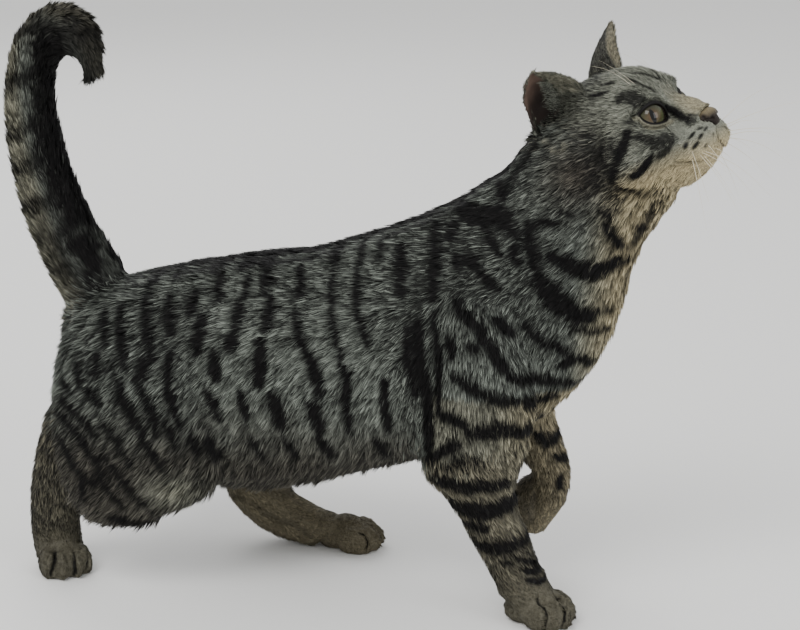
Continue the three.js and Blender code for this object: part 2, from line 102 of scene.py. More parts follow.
class CatColours(bpy.types.PropertyGroup):
    """Colours a user may change"""
    silver: colour_prop("Silver", "Light bands of the coat", "#6a6f68")
    black: colour_prop("Black", "Stripes and ear backs", "#0d0c0c")
    cream: colour_prop("Cream", "Throat, chin and front of the chest", "#94896c")
    umber: colour_prop("Umber", "Low belly, feet and skin of the ears", "#3c3229")
    iris_rim: colour_prop("Iris rim", "Outer part of the iris", "#454a33")
    iris_core: colour_prop("Iris core", "Iris round the pupil", "#54402e")
    leather: colour_prop("Nose leather", "Bare skin of the nose", "#231d1a")
    whisker: colour_prop("Whisker", "Whiskers and brow hairs", "#ddd6c0")
    floor: colour_prop("Floor", "Studio floor and backdrop", "#f2f2f0")


# ---------------------------------------------------------------- places taken from the frame

def centre_of(name):
    low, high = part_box(name)
    return (np.array(low) + np.array(high)) / 2 / MM


MIDDLE = (np.array(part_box("chest")[0])[1] + np.array(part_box("chest")[1])[1]) / 2 / MM

HEAD_YAW, HEAD_PITCH, HEAD_ROLL = 20, 25, 6     # degrees, as the head's solids are turned
EYE_RADIUS = 11.0
EYE_AT = {"right": centre_of("eye_right"), "left": centre_of("eye_left")}
EYE_IN_HEAD = np.array([-8.37, 0.0, -0.97])     # middle between the eyeballs, in the head's own frame
EYE_OFF_MIDDLE = 15.75          # from there to the centre of each eyeball


def turn(axis, degrees):
    return np.array(Matrix.Rotation(math.radians(degrees), 3, axis))


HEAD_AXES = turn("Z", -HEAD_YAW) @ turn("Y", -HEAD_PITCH) @ turn("X", HEAD_ROLL)
HEAD_AT = (EYE_AT["right"] + EYE_AT["left"]) / 2 - HEAD_AXES @ EYE_IN_HEAD


def to_head(points):
    """Row-frame millimetres to the head's frame: x ahead, y left, z up from between the eyes."""
    return (np.asarray(points) - HEAD_AT) @ HEAD_AXES


def from_head(points):
    return np.asarray(points) @ HEAD_AXES.T + HEAD_AT


# the tail's middle line from its root to its tip, and the way each limb runs from node to node
TAIL_LINE = [centre_of("rump") + (-20, 0, 40), centre_of("tail_base"), centre_of("tail_middle") + (2, 0, -18),
             centre_of("tail_middle") + (-3, 0, 20), centre_of("tail_tip") + (-18, 0, 2),
             centre_of("tail_tip") + (-6, 0, 16), centre_of("tail_tip") + (14, 0, 10),
             centre_of("tail_tip") + (20, 0, -14)]
LIMBS = {
    "fore_right": ("upper_arm_right", "forearm_right", "paw_fore_right"),
    "fore_left": ("upper_arm_left", "forearm_left", "paw_fore_left"),
    "hind_right": ("thigh_right", "shank_right", "paw_hind_right"),
    "hind_left": ("thigh_left", "shank_left", "paw_hind_left"),
}
# where the toes point from the middle of each paw
TOES = {"paw_fore_right": (0.95, -0.15, -0.3), "paw_fore_left": (0.1, 0.0, -1.0),
        "paw_hind_right": (0.6, -0.75, -0.3), "paw_hind_left": (0.95, 0.07, -0.3)}

FLESH = [name for name in NODES if not name.startswith(("eye_", "whisker_", "nose"))]
EARS = ("ear_right", "ear_left")
THIGHS = ("thigh_right", "thigh_left")
SHANKS = ("shank_right", "shank_left")
FORELEGS = ("upper_arm_right", "forearm_right", "upper_arm_left", "forearm_left")
PAWS = ("paw_fore_right", "paw_fore_left", "paw_hind_right", "paw_hind_left")
TAIL = ("tail_base", "tail_middle", "tail_tip")
TRUNK = ("belly", "rump", "chest", "neck", *THIGHS, "tail_base")
LOWER_LEGS = ("forearm_right", "forearm_left", *SHANKS, *PAWS)
FAR_LEGS = ("shank_left", "paw_hind_left", "forearm_left", "paw_fore_left")


# ---------------------------------------------------------------- number helpers

def unit(vectors):
    length = np.linalg.norm(vectors, axis=-1, keepdims=True)
    return vectors / np.maximum(length, 1e-9)


def smoothstep(low, high, value):
    share = np.clip((value - low) / (high - low), 0, 1)
    return share * share * (3 - 2 * share)


def mix(a, b, share):
    return a + (b - a) * share


NOISE_LEVELS = 4096             # a power of two
NOISE_STRIDES = (73856093, 19349663, 83492791)      # primes that scatter the cells over the levels


def noise(points, size, seed=0):
    """Smooth value noise from -1 to 1 over points, one bump about every size millimetres."""
    table = np.random.default_rng(seed).random(NOISE_LEVELS) * 2 - 1
    place = np.asarray(points) / size
    cell = np.floor(place).astype(np.int64)
    part = place - cell
    part = part * part * (3 - 2 * part)
    total = np.zeros(len(place))
    for corner in range(8):
        step = np.array([corner & 1, (corner >> 1) & 1, (corner >> 2) & 1])
        scattered = (cell + step) * NOISE_STRIDES
        key = (scattered[:, 0] ^ scattered[:, 1] ^ scattered[:, 2]) & (NOISE_LEVELS - 1)
        weight = np.prod(np.where(step, part, 1 - part), axis=1)
        total += weight * table[key]
    return total


def along_line(points, line):
    """How far each point lies from a line of segments, how far along it, and the line's direction there."""
    line = np.asarray(line, float)
    off, place, way = np.full(len(points), np.inf), np.zeros(len(points)), np.zeros(points.shape)
    walked = 0.0
    for start, end in zip(line[:-1], line[1:]):
        along = end - start
        length = max(float(np.linalg.norm(along)), 1e-9)
        share = np.clip((points - start) @ along / max(along @ along, 1e-9), 0, 1)
        distance = np.linalg.norm(points - start - share[:, None] * along, axis=1)
        nearer = distance < off
        off = np.where(nearer, distance, off)
        place = np.where(nearer, walked + share * length, place)
        way[nearer] = along / length
        walked += length
    return off, place, way


# ---------------------------------------------------------------- object helpers

def deselect():
    for item in bpy.context.selected_objects:
        item.select_set(False)


def select_only(item):
    deselect()
    item.select_set(True)
    bpy.context.view_layer.objects.active = item


def apply_modifier(item, kind, **settings):
    """Adds one modifier to a piece and applies it."""
    select_only(item)
    modifier = item.modifiers.new(kind.lower(), kind)
    for key, value in settings.items():
        setattr(modifier, key, value)
    bpy.ops.object.modifier_apply(modifier=modifier.name)


def linked(name, mesh):
    item = bpy.data.objects.new(name, mesh)
    bpy.context.scene.collection.objects.link(item)
    return item


def copy_of(node, name):
    """A welded copy of a CAD node's mesh as an object of its own."""
    mesh = NODES[node].data.copy()
    mesh.materials.clear()
    shape = bmesh.new()
    shape.from_mesh(mesh)
    bmesh.ops.remove_doubles(shape, verts=shape.verts, dist=1e-6)
    shape.to_mesh(mesh)
    shape.free()
    return linked(name, mesh)


def joined(items, name):
    deselect()
    for item in items:
        item.select_set(True)
    bpy.context.view_layer.objects.active = items[0]
    bpy.ops.object.join()
    whole = bpy.context.view_layer.objects.active
    whole.name = name
    whole.data.name = name
    return whole


def rows_of(items, key, width, kind=np.float32):
    """One property of every item in a collection of a mesh, a row for each."""
    flat = np.empty(len(items) * width, kind)
    items.foreach_get(key, flat)
    return flat.reshape(-1, width)


def points_of(mesh):
    """The mesh's points in millimetres."""
    return rows_of(mesh.vertices, "co", 3).astype(float) / MM


def move_points(mesh, points):
    mesh.vertices.foreach_set("co", (points * MM).astype(np.float32).ravel())
    mesh.update()


def normals_of(mesh):
    return rows_of(mesh.vertex_normals, "vector", 3).astype(float)


def edges_of(mesh):
    return rows_of(mesh.edges, "vertices", 2, np.int32)


def triangles_of(mesh):
    mesh.calc_loop_triangles()
    return rows_of(mesh.loop_triangles, "vertices", 3, np.int32)


def neighbour_mean(values, edges):
    """The mean of each point's neighbours' values."""
    count = len(values)
    a, b = edges[:, 0], edges[:, 1]
    valence = np.maximum(np.bincount(a, minlength=count) + np.bincount(b, minlength=count), 1)
    columns = [
        (np.bincount(a, values[b, k], count) + np.bincount(b, values[a, k], count)) / valence
        for k in range(values.shape[1])
    ]
    return np.stack(columns, axis=1)


def smoothed(values, edges, rounds):
    """Moves each point's values halfway to its neighbours' mean, so many times over."""
    for _ in range(rounds):
        values = mix(values, neighbour_mean(values, edges), 0.5)
    return values


def smoothed_field(values, edges, rounds):
    return smoothed(values[:, None], edges, rounds)[:, 0]


def polished(points, edges, rounds, strength):
    """Low-pass smoothing that keeps the volume; strength is 0 to 1 for each point."""
    inward, outward = 0.5, -0.525
    for _ in range(rounds):
        for factor in (inward, outward):
            step = (neighbour_mean(points, edges) - points) * factor
            points = points + step * strength[:, None]
    return points


def set_attribute(mesh, name, values):
    layer = mesh.attributes.new(name, "FLOAT", "POINT")
    layer.data.foreach_set("value", np.asarray(values, np.float32))


def ride_root(item, slot, *nodes):
    """Hands a finished piece to the frame: it rides on the body and stands for its CAD nodes."""
    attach(item, "root")
    if nodes:
        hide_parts(*nodes)


# ---------------------------------------------------------------- materials

def node(tree, kind, settings=None, **inputs):
    """Adds a shader node, with its settings, and its inputs as values or as links."""
    made = tree.nodes.new(kind)
    for key, value in (settings or {}).items():
        setattr(made, key, value)
    for key, value in inputs.items():
        by_number = key[0] == "i" and key[1:].isdigit()
        socket = made.inputs[int(key[1:]) if by_number else key.replace("_", " ")]
        if isinstance(value, bpy.types.NodeSocket):
            tree.links.new(value, socket)
        else:
            socket.default_value = value
    return made


def blank_material(name):
    material = bpy.data.materials.new(name)
    material.use_nodes = True
    material.node_tree.nodes.clear()
    return material, material.node_tree


def end_with_shader(tree, colour, roughness, specular, **inputs):
    """Ends a material with one shader of this colour."""
    shader = node(tree, "ShaderNodeBsdfPrincipled", None, Base_Color=colour, Roughness=roughness,
                  Specular_IOR_Level=specular, **inputs)
    tree.links.new(shader.outputs[0], node(tree, "ShaderNodeOutputMaterial").inputs["Surface"])


def grain_over(tree, scale, detail):
    """Noise over the piece's own coordinates, in bumps to a metre."""
    place = node(tree, "ShaderNodeTexCoord").outputs["Object"]
    return node(tree, "ShaderNodeTexNoise", None, Vector=place, Scale=scale, Detail=detail).outputs[0]


def bump_from(tree, height, strength, metres, invert=False):
    return node(tree, "ShaderNodeBump", {"invert": invert}, Strength=strength, Distance=metres,
                Height=height).outputs[0]


def four(colour):
    return (*colour, 1.0)


def attribute(tree, name):
    return node(tree, "ShaderNodeAttribute", {"attribute_name": name}).outputs["Fac"]


def mixed(tree, share, a, b, blend="MIX"):
    """A mix of two colours."""
    settings = {"data_type": "RGBA", "blend_type": blend}
    return node(tree, "ShaderNodeMix", settings, i0=share, i6=a, i7=b).outputs[2]


def multiplied(tree, colour, value, *stops):
    """A colour times a ramp over a value."""
    return mixed(tree, 1.0, colour, ramp(tree, value, *stops), "MULTIPLY")


def ramp(tree, value, *stops):
    """Levels or colours between stops over a value."""
    made = node(tree, "ShaderNodeValToRGB", None, i0=value)
    steps = made.color_ramp.elements
    while len(steps) < len(stops):
        steps.new(0.5)
    for step, (place, level) in zip(steps, stops):
        step.position = place
        step.color = (level, level, level, 1) if np.isscalar(level) else four(level)
    return made.outputs[0]


def fur_colour(tree, colours):
    """The tabby's colour from the marking fields that skin and coat share."""
    base = mixed(tree, attribute(tree, "warm"), four(colours.silver), four(colours.cream))
    base = mixed(tree, attribute(tree, "earth"), base, four(colours.umber))
    return mixed(tree, attribute(tree, "mark"), base, four(colours.black))


def coat_material(colours):
    """Guard hair of a short-haired tabby: dark at the root, partly its own band and partly painted shade deep
    in the coat, banded pale, lighter or darker by the tuft.
    """
    material, tree = blank_material("tabby guard hair")
    colour = fur_colour(tree, colours)
    # darker towards each blade's root: partly the hair's own band, partly painted shade deep among the hairs
    colour = multiplied(tree, colour, attribute(tree, "along"), (0.0, 0.12), (0.5, 0.6), (0.9, 1.25))
    colour = multiplied(tree, colour, attribute(tree, "tone"), (0.0, 0.2), (0.5, 0.72), (1.0, 2.0))
    end_with_shader(tree, colour, 0.6, 0.12)
    return material


def skin_material(colours):
    """Skin under short fur, seen where the coat is thinnest: the coat's colours, matt, with a fine nap."""
    material, tree = blank_material("short-furred skin")
    nap = grain_over(tree, 900.0, 3.0)
    colour = multiplied(tree, fur_colour(tree, colours), nap, (0.25, 0.35), (0.75, 0.85))
    colour = multiplied(tree, colour, attribute(tree, "pale"), (0.0, 1.0), (1.0, 2.3))
    # skin of the ear's hollow, darker towards its deep foot: painted shade in the hollow
    hollow = mixed(tree, attribute(tree, "deep"), four(linear("#54443b")), four(linear("#211916")))
    hollow = multiplied(tree, hollow, grain_over(tree, 110.0, 5.0), (0.3, 0.7), (0.7, 1.15))
    flesh = mixed(tree, attribute(tree, "bare"), colour, hollow)
    # black lid edges, and the lip and philtrum folds: the lips' own dark edge with painted shade in the folds
    flesh = mixed(tree, attribute(tree, "rim"), flesh, four(linear("#0c0a0a")))
    end_with_shader(tree, flesh, 0.7, 0.25, Normal=bump_from(tree, nap, 0.4, 0.0004))
    return material


# ---------------------------------------------------------------- skin

# per node: hair length, coat depth, and how much smoothing the skin gets
FUR = {
    "head": (5.0, 1.4, 0.10), "neck": (10, 4.0, 1.0), "chest": (10, 4.2, 1.0), "belly": (10.5, 4.2, 1.0),
    "rump": (9.5, 4.0, 1.0), "tail_base": (10, 4.0, 0.8), "tail_middle": (11, 4.4, 0.6),
    "tail_tip": (9, 3.6, 0.35), "shank_right": (6, 1.0, 0.4), "shank_left": (6, 1.2, 0.4),
    **dict.fromkeys(("upper_arm_right", "upper_arm_left"), (8.5, 3.2, 0.8)),
    **dict.fromkeys(("forearm_right", "forearm_left"), (6, 2.0, 0.35)),
    **dict.fromkeys(THIGHS, (9.5, 3.8, 1.0)),
    **dict.fromkeys(PAWS, (3.0, 0.3, 0.12)),
    **dict.fromkeys(EARS, (3.2, 0.3, 0.05)),
}
HAIR_LENGTH, COAT_DEPTH, SMOOTHING = range(3)       # columns of FUR
FACE_DEPTH = 1.0        # coat depth on the muzzle
SKIN_FACES = 120000     # triangles of skin before the eyes, lips and toes get finer ones
CUT_FILL = 0.3          # how far each copied solid swells, so that the thin cuts close
COVERED = 0.3           # skin smoothed more than this lies under long coat
BALL_RADIUS = 10.2      # of the ball behind each eye's opening


class Skin:
    """The skin's points and the fields that the coat grows from."""

    def __init__(self, item):
        self.item = item
        self.edges = edges_of(item.data)
        self.read()

    def read(self):
        self.points = points_of(self.item.data)
        self.normals = normals_of(self.item.data)

    def write(self, points):
        move_points(self.item.data, points)
        self.read()


def flesh_finder():
    """A search tree over the CAD flesh that answers which node a place belongs to."""
    corners, faces, owner = [], [], []
    for index, name in enumerate(FLESH):
        mesh = NODES[name].data
        start = len(corners)
        corners.extend(points_of(mesh).tolist())
        for face in mesh.polygons:
            faces.append([start + k for k in face.vertices])
            owner.append(index)
    return BVHTree.FromPolygons(corners, faces), np.array(owner)


def nearest_nodes(points):
    """The index in FLESH of the node nearest to each point."""
    tree, owner = WORK["finder"]
    return np.array([owner[tree.find_nearest(point)[2]] for point in points.tolist()])


def node_field(nodes, column):
    """One column of FUR for each point."""
    return np.array([FUR[name][column] for name in FLESH], float)[nodes]


def turned_axes(side, outwards, upwards):
    """Directions in the head frame, for an eye turned by these degrees: ahead, outwards and up."""
    sign, out, lift = SIGN[side], math.radians(outwards), math.radians(upwards)
    ahead = np.array([math.cos(out) * math.cos(lift), sign * math.sin(out) * math.cos(lift), math.sin(lift)])
    outward = np.array([-math.sin(out), sign * math.cos(out), 0.0])
    up = np.array([-math.cos(out) * math.sin(lift), -sign * math.sin(out) * math.sin(lift), math.cos(lift)])
    return np.stack([ahead, outward, up])


EYE_OPENS = (36, 8)             # degrees the eye's opening faces outwards and upwards
LID_TILT = 26                   # degrees the inner corner lies lower than the outer one
LID_MIDDLE = (-0.6, -1.6)       # middle of the corners, outwards and up from the eyeball's centre
LID_HALF = 9.8                  # half the distance between the corners
LID_UPPER, LID_LOWER = 7.4, 5.0     # how far each lid's edge bows from the line of the corners
LID_THICK = 1.1                 # how far the lids' outside lies over the eyeball
LID_FOLD, LID_RIDGE = 0.55, 0.35    # depth of the fold round the lids, and height of the ridge inside it
SOCKET_DEPTH = 2.6              # how far the skin sinks behind the eyeball in the opening
NOWHERE = 99.0                  # a distance for places that a search leaves out
EYE_REACHES = (15.0, 12.5)      # how far from each eye's axis the skin's faces are cut finer, and finer again


def lid_heights(share):
    """The upper and lower lid edge over the line of the corners, for places -1 (inner) to 1 (outer)."""
    bow = np.maximum(1 - share ** 2, 0) ** 0.72
    return LID_UPPER * bow * (1 - 0.22 * share), -LID_LOWER * bow * (1 + 0.25 * share)


def lid_plane(across, high):
    """Turns places seen along the eye's axis into the lids' own tilted plane."""
    tilt = math.radians(LID_TILT)
    a, b = across - LID_MIDDLE[0], high - LID_MIDDLE[1]
    return a * math.cos(tilt) + b * math.sin(tilt), -a * math.sin(tilt) + b * math.cos(tilt)


def lid_gap(across, high):
    """How far a place seen along the eye's axis lies outside the lids' opening; negative inside."""
    a, b = lid_plane(across, high)
    upper, lower = lid_heights(np.clip(a / LID_HALF, -1, 1))
    within = np.minimum(upper - b, b - lower)
    beyond = np.hypot(np.abs(a) - LID_HALF, b)
    return np.where(np.abs(a) < LID_HALF, -within, beyond)


def round_eyes(points, reach):
    """For each eye: how far near places lie outside the opening, and how high over the corners' line."""
    for side in EYE_AT:
        ahead, across, high = in_eye(points, side).T
        near = (ahead > 0) & (np.hypot(across, high) < reach)
        yield np.where(near, lid_gap(across, high), NOWHERE), lid_plane(across, high)[1]


def eye_centre(side):
    return EYE_IN_HEAD + np.array([0, SIGN[side] * EYE_OFF_MIDDLE, 0])


def in_eye(points, side):
    """Points in an eye's own frame: ahead, outwards, up, from the eyeball's centre."""
    return (to_head(points) - eye_centre(side)) @ turned_axes(side, *EYE_OPENS).T


def from_eye(places, side):
    return from_head(np.asarray(places) @ turned_axes(side, *EYE_OPENS) + eye_centre(side))


def sculpt_lids(points, side):
    """Brings the skin round one eye onto the eyeball as lids, and sinks it behind the ball in the opening."""
    own = in_eye(points, side)
    ahead, across, high = own.T
    reach = np.hypot(across, high)
    gap = lid_gap(across, high)
    ball = np.sqrt(np.maximum(EYE_RADIUS ** 2 - reach ** 2, 0))
    lid = np.sqrt(np.maximum((EYE_RADIUS + LID_THICK) ** 2 - reach ** 2, 9.0))
    lid -= LID_FOLD * np.exp(-((gap - 3.2) / 0.8) ** 2)
    lid += LID_RIDGE * np.exp(-((gap - 1.8) / 0.8) ** 2)
    near = 1 - smoothstep(2.5, 6.5, gap)
    shaped = mix(ahead, lid, near)
    sunk = np.minimum(ball - SOCKET_DEPTH, shaped)
    shaped = mix(shaped, sunk, 1 - smoothstep(-0.5, 0.15, gap))
    touched = (ahead > -1) & (reach < 19)
    own[:, 0] = np.where(touched, shaped, ahead)
    return np.where(touched[:, None], from_eye(own, side), points), np.where(touched, gap, NOWHERE)


# swells of the whisker pads, chin and cheeks in the head frame: place, reach, height; then philtrum and lips
MUZZLE_SWELLS = [((17, 11, -26), 8, 1.5), ((16, 0, -40), 7, 0.8), ((-2, 30, -22), 14, 1.0)]
PHILTRUM = [(24.5, 0, -21), (23.5, 0, -26), (22.0, 0, -31)]
LIP_FOLD, PHILTRUM_FOLD = (1.5, 1.0), (1.6, 0.8)        # depth and half width of each fold
LIP = [(22.0, 0, -31), (21.5, 3, -33), (20.0, 6, -34.5), (17.5, 9, -36), (14.5, 12, -36.5), (11, 14, -36.5),
       (7.0, 16, -35.5), (3, 17.5, -34), (-1.0, 19, -32.5)]


def crease(points, normals, line, depth, width):
    """Folds the skin in along a line in the head frame, on both sides, and says how deep in it points lie."""
    own = to_head(points)
    own[:, 1] = np.abs(own[:, 1])
    line = [own[np.argmin(np.linalg.norm(own - place, axis=1))] for place in line]
    distance = along_line(own, line)[0]
    share = np.exp(-(distance / width) ** 2)
    return points - normals * (depth * share)[:, None], share


TOE_DEPTH, TOE_HALF = 2.6, 1.5      # depth and half width of a groove between toes
# grooves between the toes, from the knuckles over the front to the sole
TOE_GROOVES = {
    "paw_fore_right": (
        [(105, -46, 22), (108, -52, 19), (112, -56, 17), (114, -58, 13), (113, -59, 5), (112, -57, 0)],
        [(114, -34, 22), (118, -40, 18), (123, -47, 16), (125, -50, 12), (125, -52, 5), (123, -51, 0)],
        [(119, -27, 20), (125, -31, 16), (130, -35, 11), (131, -37, 5), (129, -37, 0)],
    ),
    "paw_hind_right": (
        [(-229, -37, 20), (-227, -41, 18), (-224, -47, 15), (-224, -52, 10), (-226, -52, 4), (-226, -51, 0)],
        [(-216, -34, 20), (-214, -38, 17), (-212, -44, 12), (-211, -45, 8), (-211, -45, 0)],
        [(-209, -28, 16), (-206, -33, 12), (-204, -37, 7), (-205, -38, 0)],
    ),
    "paw_hind_left": (
        [(-40, 46, 18), (-36, 46, 17), (-32, 46, 15), (-30, 45, 10), (-31, 44, 4), (-31, 44, 0)],
        [(-36, 57, 21), (-29, 57, 18), (-24, 57, 13), (-22, 57, 6), (-24, 57, 0)],
        [(-38, 67, 18), (-31, 68, 15), (-27, 68, 10), (-27, 68, 5), (-29, 67, 0)],
    ),
    "paw_fore_left": (
        [(96, 30, 46), (88, 29, 36), (76, 30, 29)], [(96, 38, 44), (88, 38, 33), (76, 38, 28)],
        [(96, 46, 46), (88, 47, 36), (76, 46, 29)],
    ),
}


def toe_grooves(points, paw):
    """How deep each place lies in the grooves between a paw's four toes, 0 to 1."""
    share = np.zeros(len(points))
    middle = centre_of(paw)
    near = np.flatnonzero(np.all(np.abs(points - middle) < 36, axis=1))
    for line in TOE_GROOVES[paw]:
        distance, walked, _ = along_line(points[near], line)
        deep = np.exp(-(distance / TOE_HALF) ** 2) * smoothstep(-1, 5, walked)
        share[near] = np.maximum(share[near], deep)
    return share


EAR_OPENS = {"right": -57, "left": 50}      # degrees from ahead that each ear opens towards
EAR_HALF = 15.5         # half an ear's width at its foot


def ear_parts(points, normals, chosen, side):
    """Directions of an ear in the head frame, and how high, near the rim and inward its points lie."""
    own = to_head(points[chosen])
    angle = math.radians(EAR_OPENS[side])
    opening = np.array([math.cos(angle), math.sin(angle), 0.0])
    tip = own[np.argmax(own[:, 2])]
    base = own[own[:, 2] < np.percentile(own[:, 2], 18)].mean(axis=0)
    up = unit(tip - base)
    opening = unit(opening - up * (opening @ up))
    across = np.cross(up, opening)
    across = across * np.sign(across[0])
    tall = (own - base) @ up / np.linalg.norm(tip - base)
    wide = (own - base) @ across
    half = np.maximum(EAR_HALF * (1 - np.clip(tall, 0, 1) ** 1.9), 1.5)
    return {"own": own, "opening": opening, "across": across, "up": up, "tall": tall, "wide": wide / half,
            "into": normals[chosen] @ HEAD_AXES @ opening}


def bend_ears(points, normals, nodes):
    """Deepens the hollow of each ear and rounds its back with it, so the ear stays as thin as it is."""
    for side in EAR_OPENS:
        chosen = is_node(nodes, "ear_" + side)
        ear = ear_parts(points, normals, chosen, side)
        tall, wide = ear["tall"], ear["wide"]
        bowl = np.clip(1 - wide ** 2, 0, 1) * smoothstep(-0.15, 0.15, tall)
        bowl = bowl * (1 - 0.6 * smoothstep(0.5, 1, tall))
        push = 2.6 + 0.5 * smoothstep(0.0, 0.5, ear["into"])
        swell = smoothstep(0.3, 1.0, np.abs(wide)) * np.sign(wide) * smoothstep(0.1, 0.5, tall)
        swell = swell * (2.4 * (1 - smoothstep(0.8, 1.05, tall)))
        moved = ear["own"] - ear["opening"] * (bowl * push)[:, None] + ear["across"] * swell[:, None]
        points[chosen] = from_head(moved)
    return points


def refine(item, chosen):
    """Cuts every face whose points are all chosen into four."""
    shape = bmesh.new()
    shape.from_mesh(item.data)
    shape.verts.ensure_lookup_table()
    edges = [edge for edge in shape.edges if chosen[edge.verts[0].index] and chosen[edge.verts[1].index]]
    bmesh.ops.subdivide_edges(shape, edges=edges, cuts=1, use_grid_fill=True)
    bmesh.ops.triangulate(shape, faces=[face for face in shape.faces if len(face.verts) > 3])
    shape.to_mesh(item.data)
    shape.free()


class CAT_OT_skin(bpy.types.Operator):
    """One skin over all the flesh, sunk below the coat, with lids, lips and toes"""
    bl_idname = "cat.skin"
    bl_label = "Skin"

    def execute(self, context):
        sizes = context.scene.cat_sizes
        copies = []
        for name in FLESH:
            piece = copy_of(name, "flesh_" + name)
            apply_modifier(piece, "DISPLACE", strength=CUT_FILL * MM, mid_level=0.0)
            copies.append(piece)
        for side, place in EYE_AT.items():
            bpy.ops.mesh.primitive_uv_sphere_add(radius=BALL_RADIUS * MM, location=tuple(place * MM))
            ball = context.view_layer.objects.active
            bpy.ops.object.transform_apply(location=True, rotation=True, scale=True)
            ball.name = "flesh_behind_eye_" + side
            copies.append(ball)
        whole = joined(copies, "skin")
        apply_modifier(whole, "REMESH", mode="VOXEL", voxel_size=sizes.skin_step)
        WORK["finder"] = flesh_finder()
        strength = self.smooth_and_sink(whole)
        self.thin_body(whole, strength)
        self.refine_details(whole)
        self.sculpt(whole)
        whole.data.shade_smooth()
        WORK["skin"] = Skin(whole)
        return {"FINISHED"}

    def smooth_and_sink(self, whole):
        """Rounds the joined solids and sinks them below the coat; says how much each point was smoothed."""
        skin = Skin(whole)
        nodes = nearest_nodes(skin.points)
        strength = smoothed_field(node_field(nodes, SMOOTHING), skin.edges, 12)
        points = polished(skin.points, skin.edges, 90, strength)
        skin.write(polished(points, skin.edges, 6, np.full(len(points), 0.8)))
        depth = smoothed_field(node_field(nodes, COAT_DEPTH), skin.edges, 25) + CUT_FILL
        muzzle = smoothstep(-20, 8, to_head(skin.points)[:, 0]) * is_node(nodes, "head")
        depth = mix(depth, FACE_DEPTH + CUT_FILL, muzzle)
        points = skin.points - skin.normals * depth[:, None]
        points = mix(points, smoothed(points, skin.edges, 2), np.clip(strength, 0.1, 1)[:, None])
        points[:, 2] = np.maximum(points[:, 2], 0.0)
        skin.write(points)
        return strength

    def thin_body(self, whole, strength):
        """Merges faces under the long coat, where the skin is never seen."""
        group = whole.vertex_groups.new(name="covered")
        group.add(np.flatnonzero(strength > COVERED).tolist(), 1.0, "REPLACE")
        ratio = SKIN_FACES / (2 * len(whole.data.polygons))
        apply_modifier(whole, "DECIMATE", ratio=ratio, vertex_group="covered", vertex_group_factor=10.0)
        whole.vertex_groups.clear()

    def refine_details(self, whole):
        """Smaller faces round the eyes, then the lips and toes."""
        for reach in EYE_REACHES:
            points = points_of(whole.data)
            chosen = np.zeros(len(points), bool)
            for side in EYE_AT:
                ahead, across, high = in_eye(points, side).T
                chosen |= (np.hypot(across, high) < reach) & (ahead > -2)
            refine(whole, chosen)
        own = to_head(points_of(whole.data))
        refine(whole, (own[:, 0] > 2) & (own[:, 2] < -8) & (np.abs(own[:, 1]) < 22))
        points = points_of(whole.data)
        chosen = np.zeros(len(points), bool)
        for paw in TOE_GROOVES:
            chosen |= toe_grooves(points, paw) > 0.05
        refine(whole, chosen)

    def sculpt(self, whole):
        skin = Skin(whole)
        points = skin.points
        rim = np.zeros(len(points))
        for side in EYE_AT:
            points, gap = sculpt_lids(points, side)
            rim = np.maximum(rim, 1 - smoothstep(0.8, 1.7, gap))
        for middle, reach, height in MUZZLE_SWELLS:
            own = to_head(points)
            own[:, 1] = np.abs(own[:, 1])
            swell = np.exp(-(np.linalg.norm(own - middle, axis=1) / reach) ** 2)
            points = points + skin.normals * (height * swell)[:, None]
        points, lips = crease(points, skin.normals, LIP, *LIP_FOLD)
        points, cleft = crease(points, skin.normals, PHILTRUM, *PHILTRUM_FOLD)
        skin.write(points)
        toes = np.zeros(len(points))
        for paw in TOE_GROOVES:
            share = toe_grooves(skin.points, paw)
            skin.write(skin.points - skin.normals * (TOE_DEPTH * share)[:, None])
            toes = np.maximum(toes, share)
        skin.write(bend_ears(skin.points.copy(), skin.normals, nearest_nodes(skin.points)))
        WORK["toes"] = toes
        WORK["lips"] = np.maximum(lips, cleft)
        # the folds of the lips and philtrum join the dark rims: the lips' own dark edge, with painted shade
        # in the folds
        WORK["rim"] = np.maximum(rim, 0.7 * WORK["lips"])
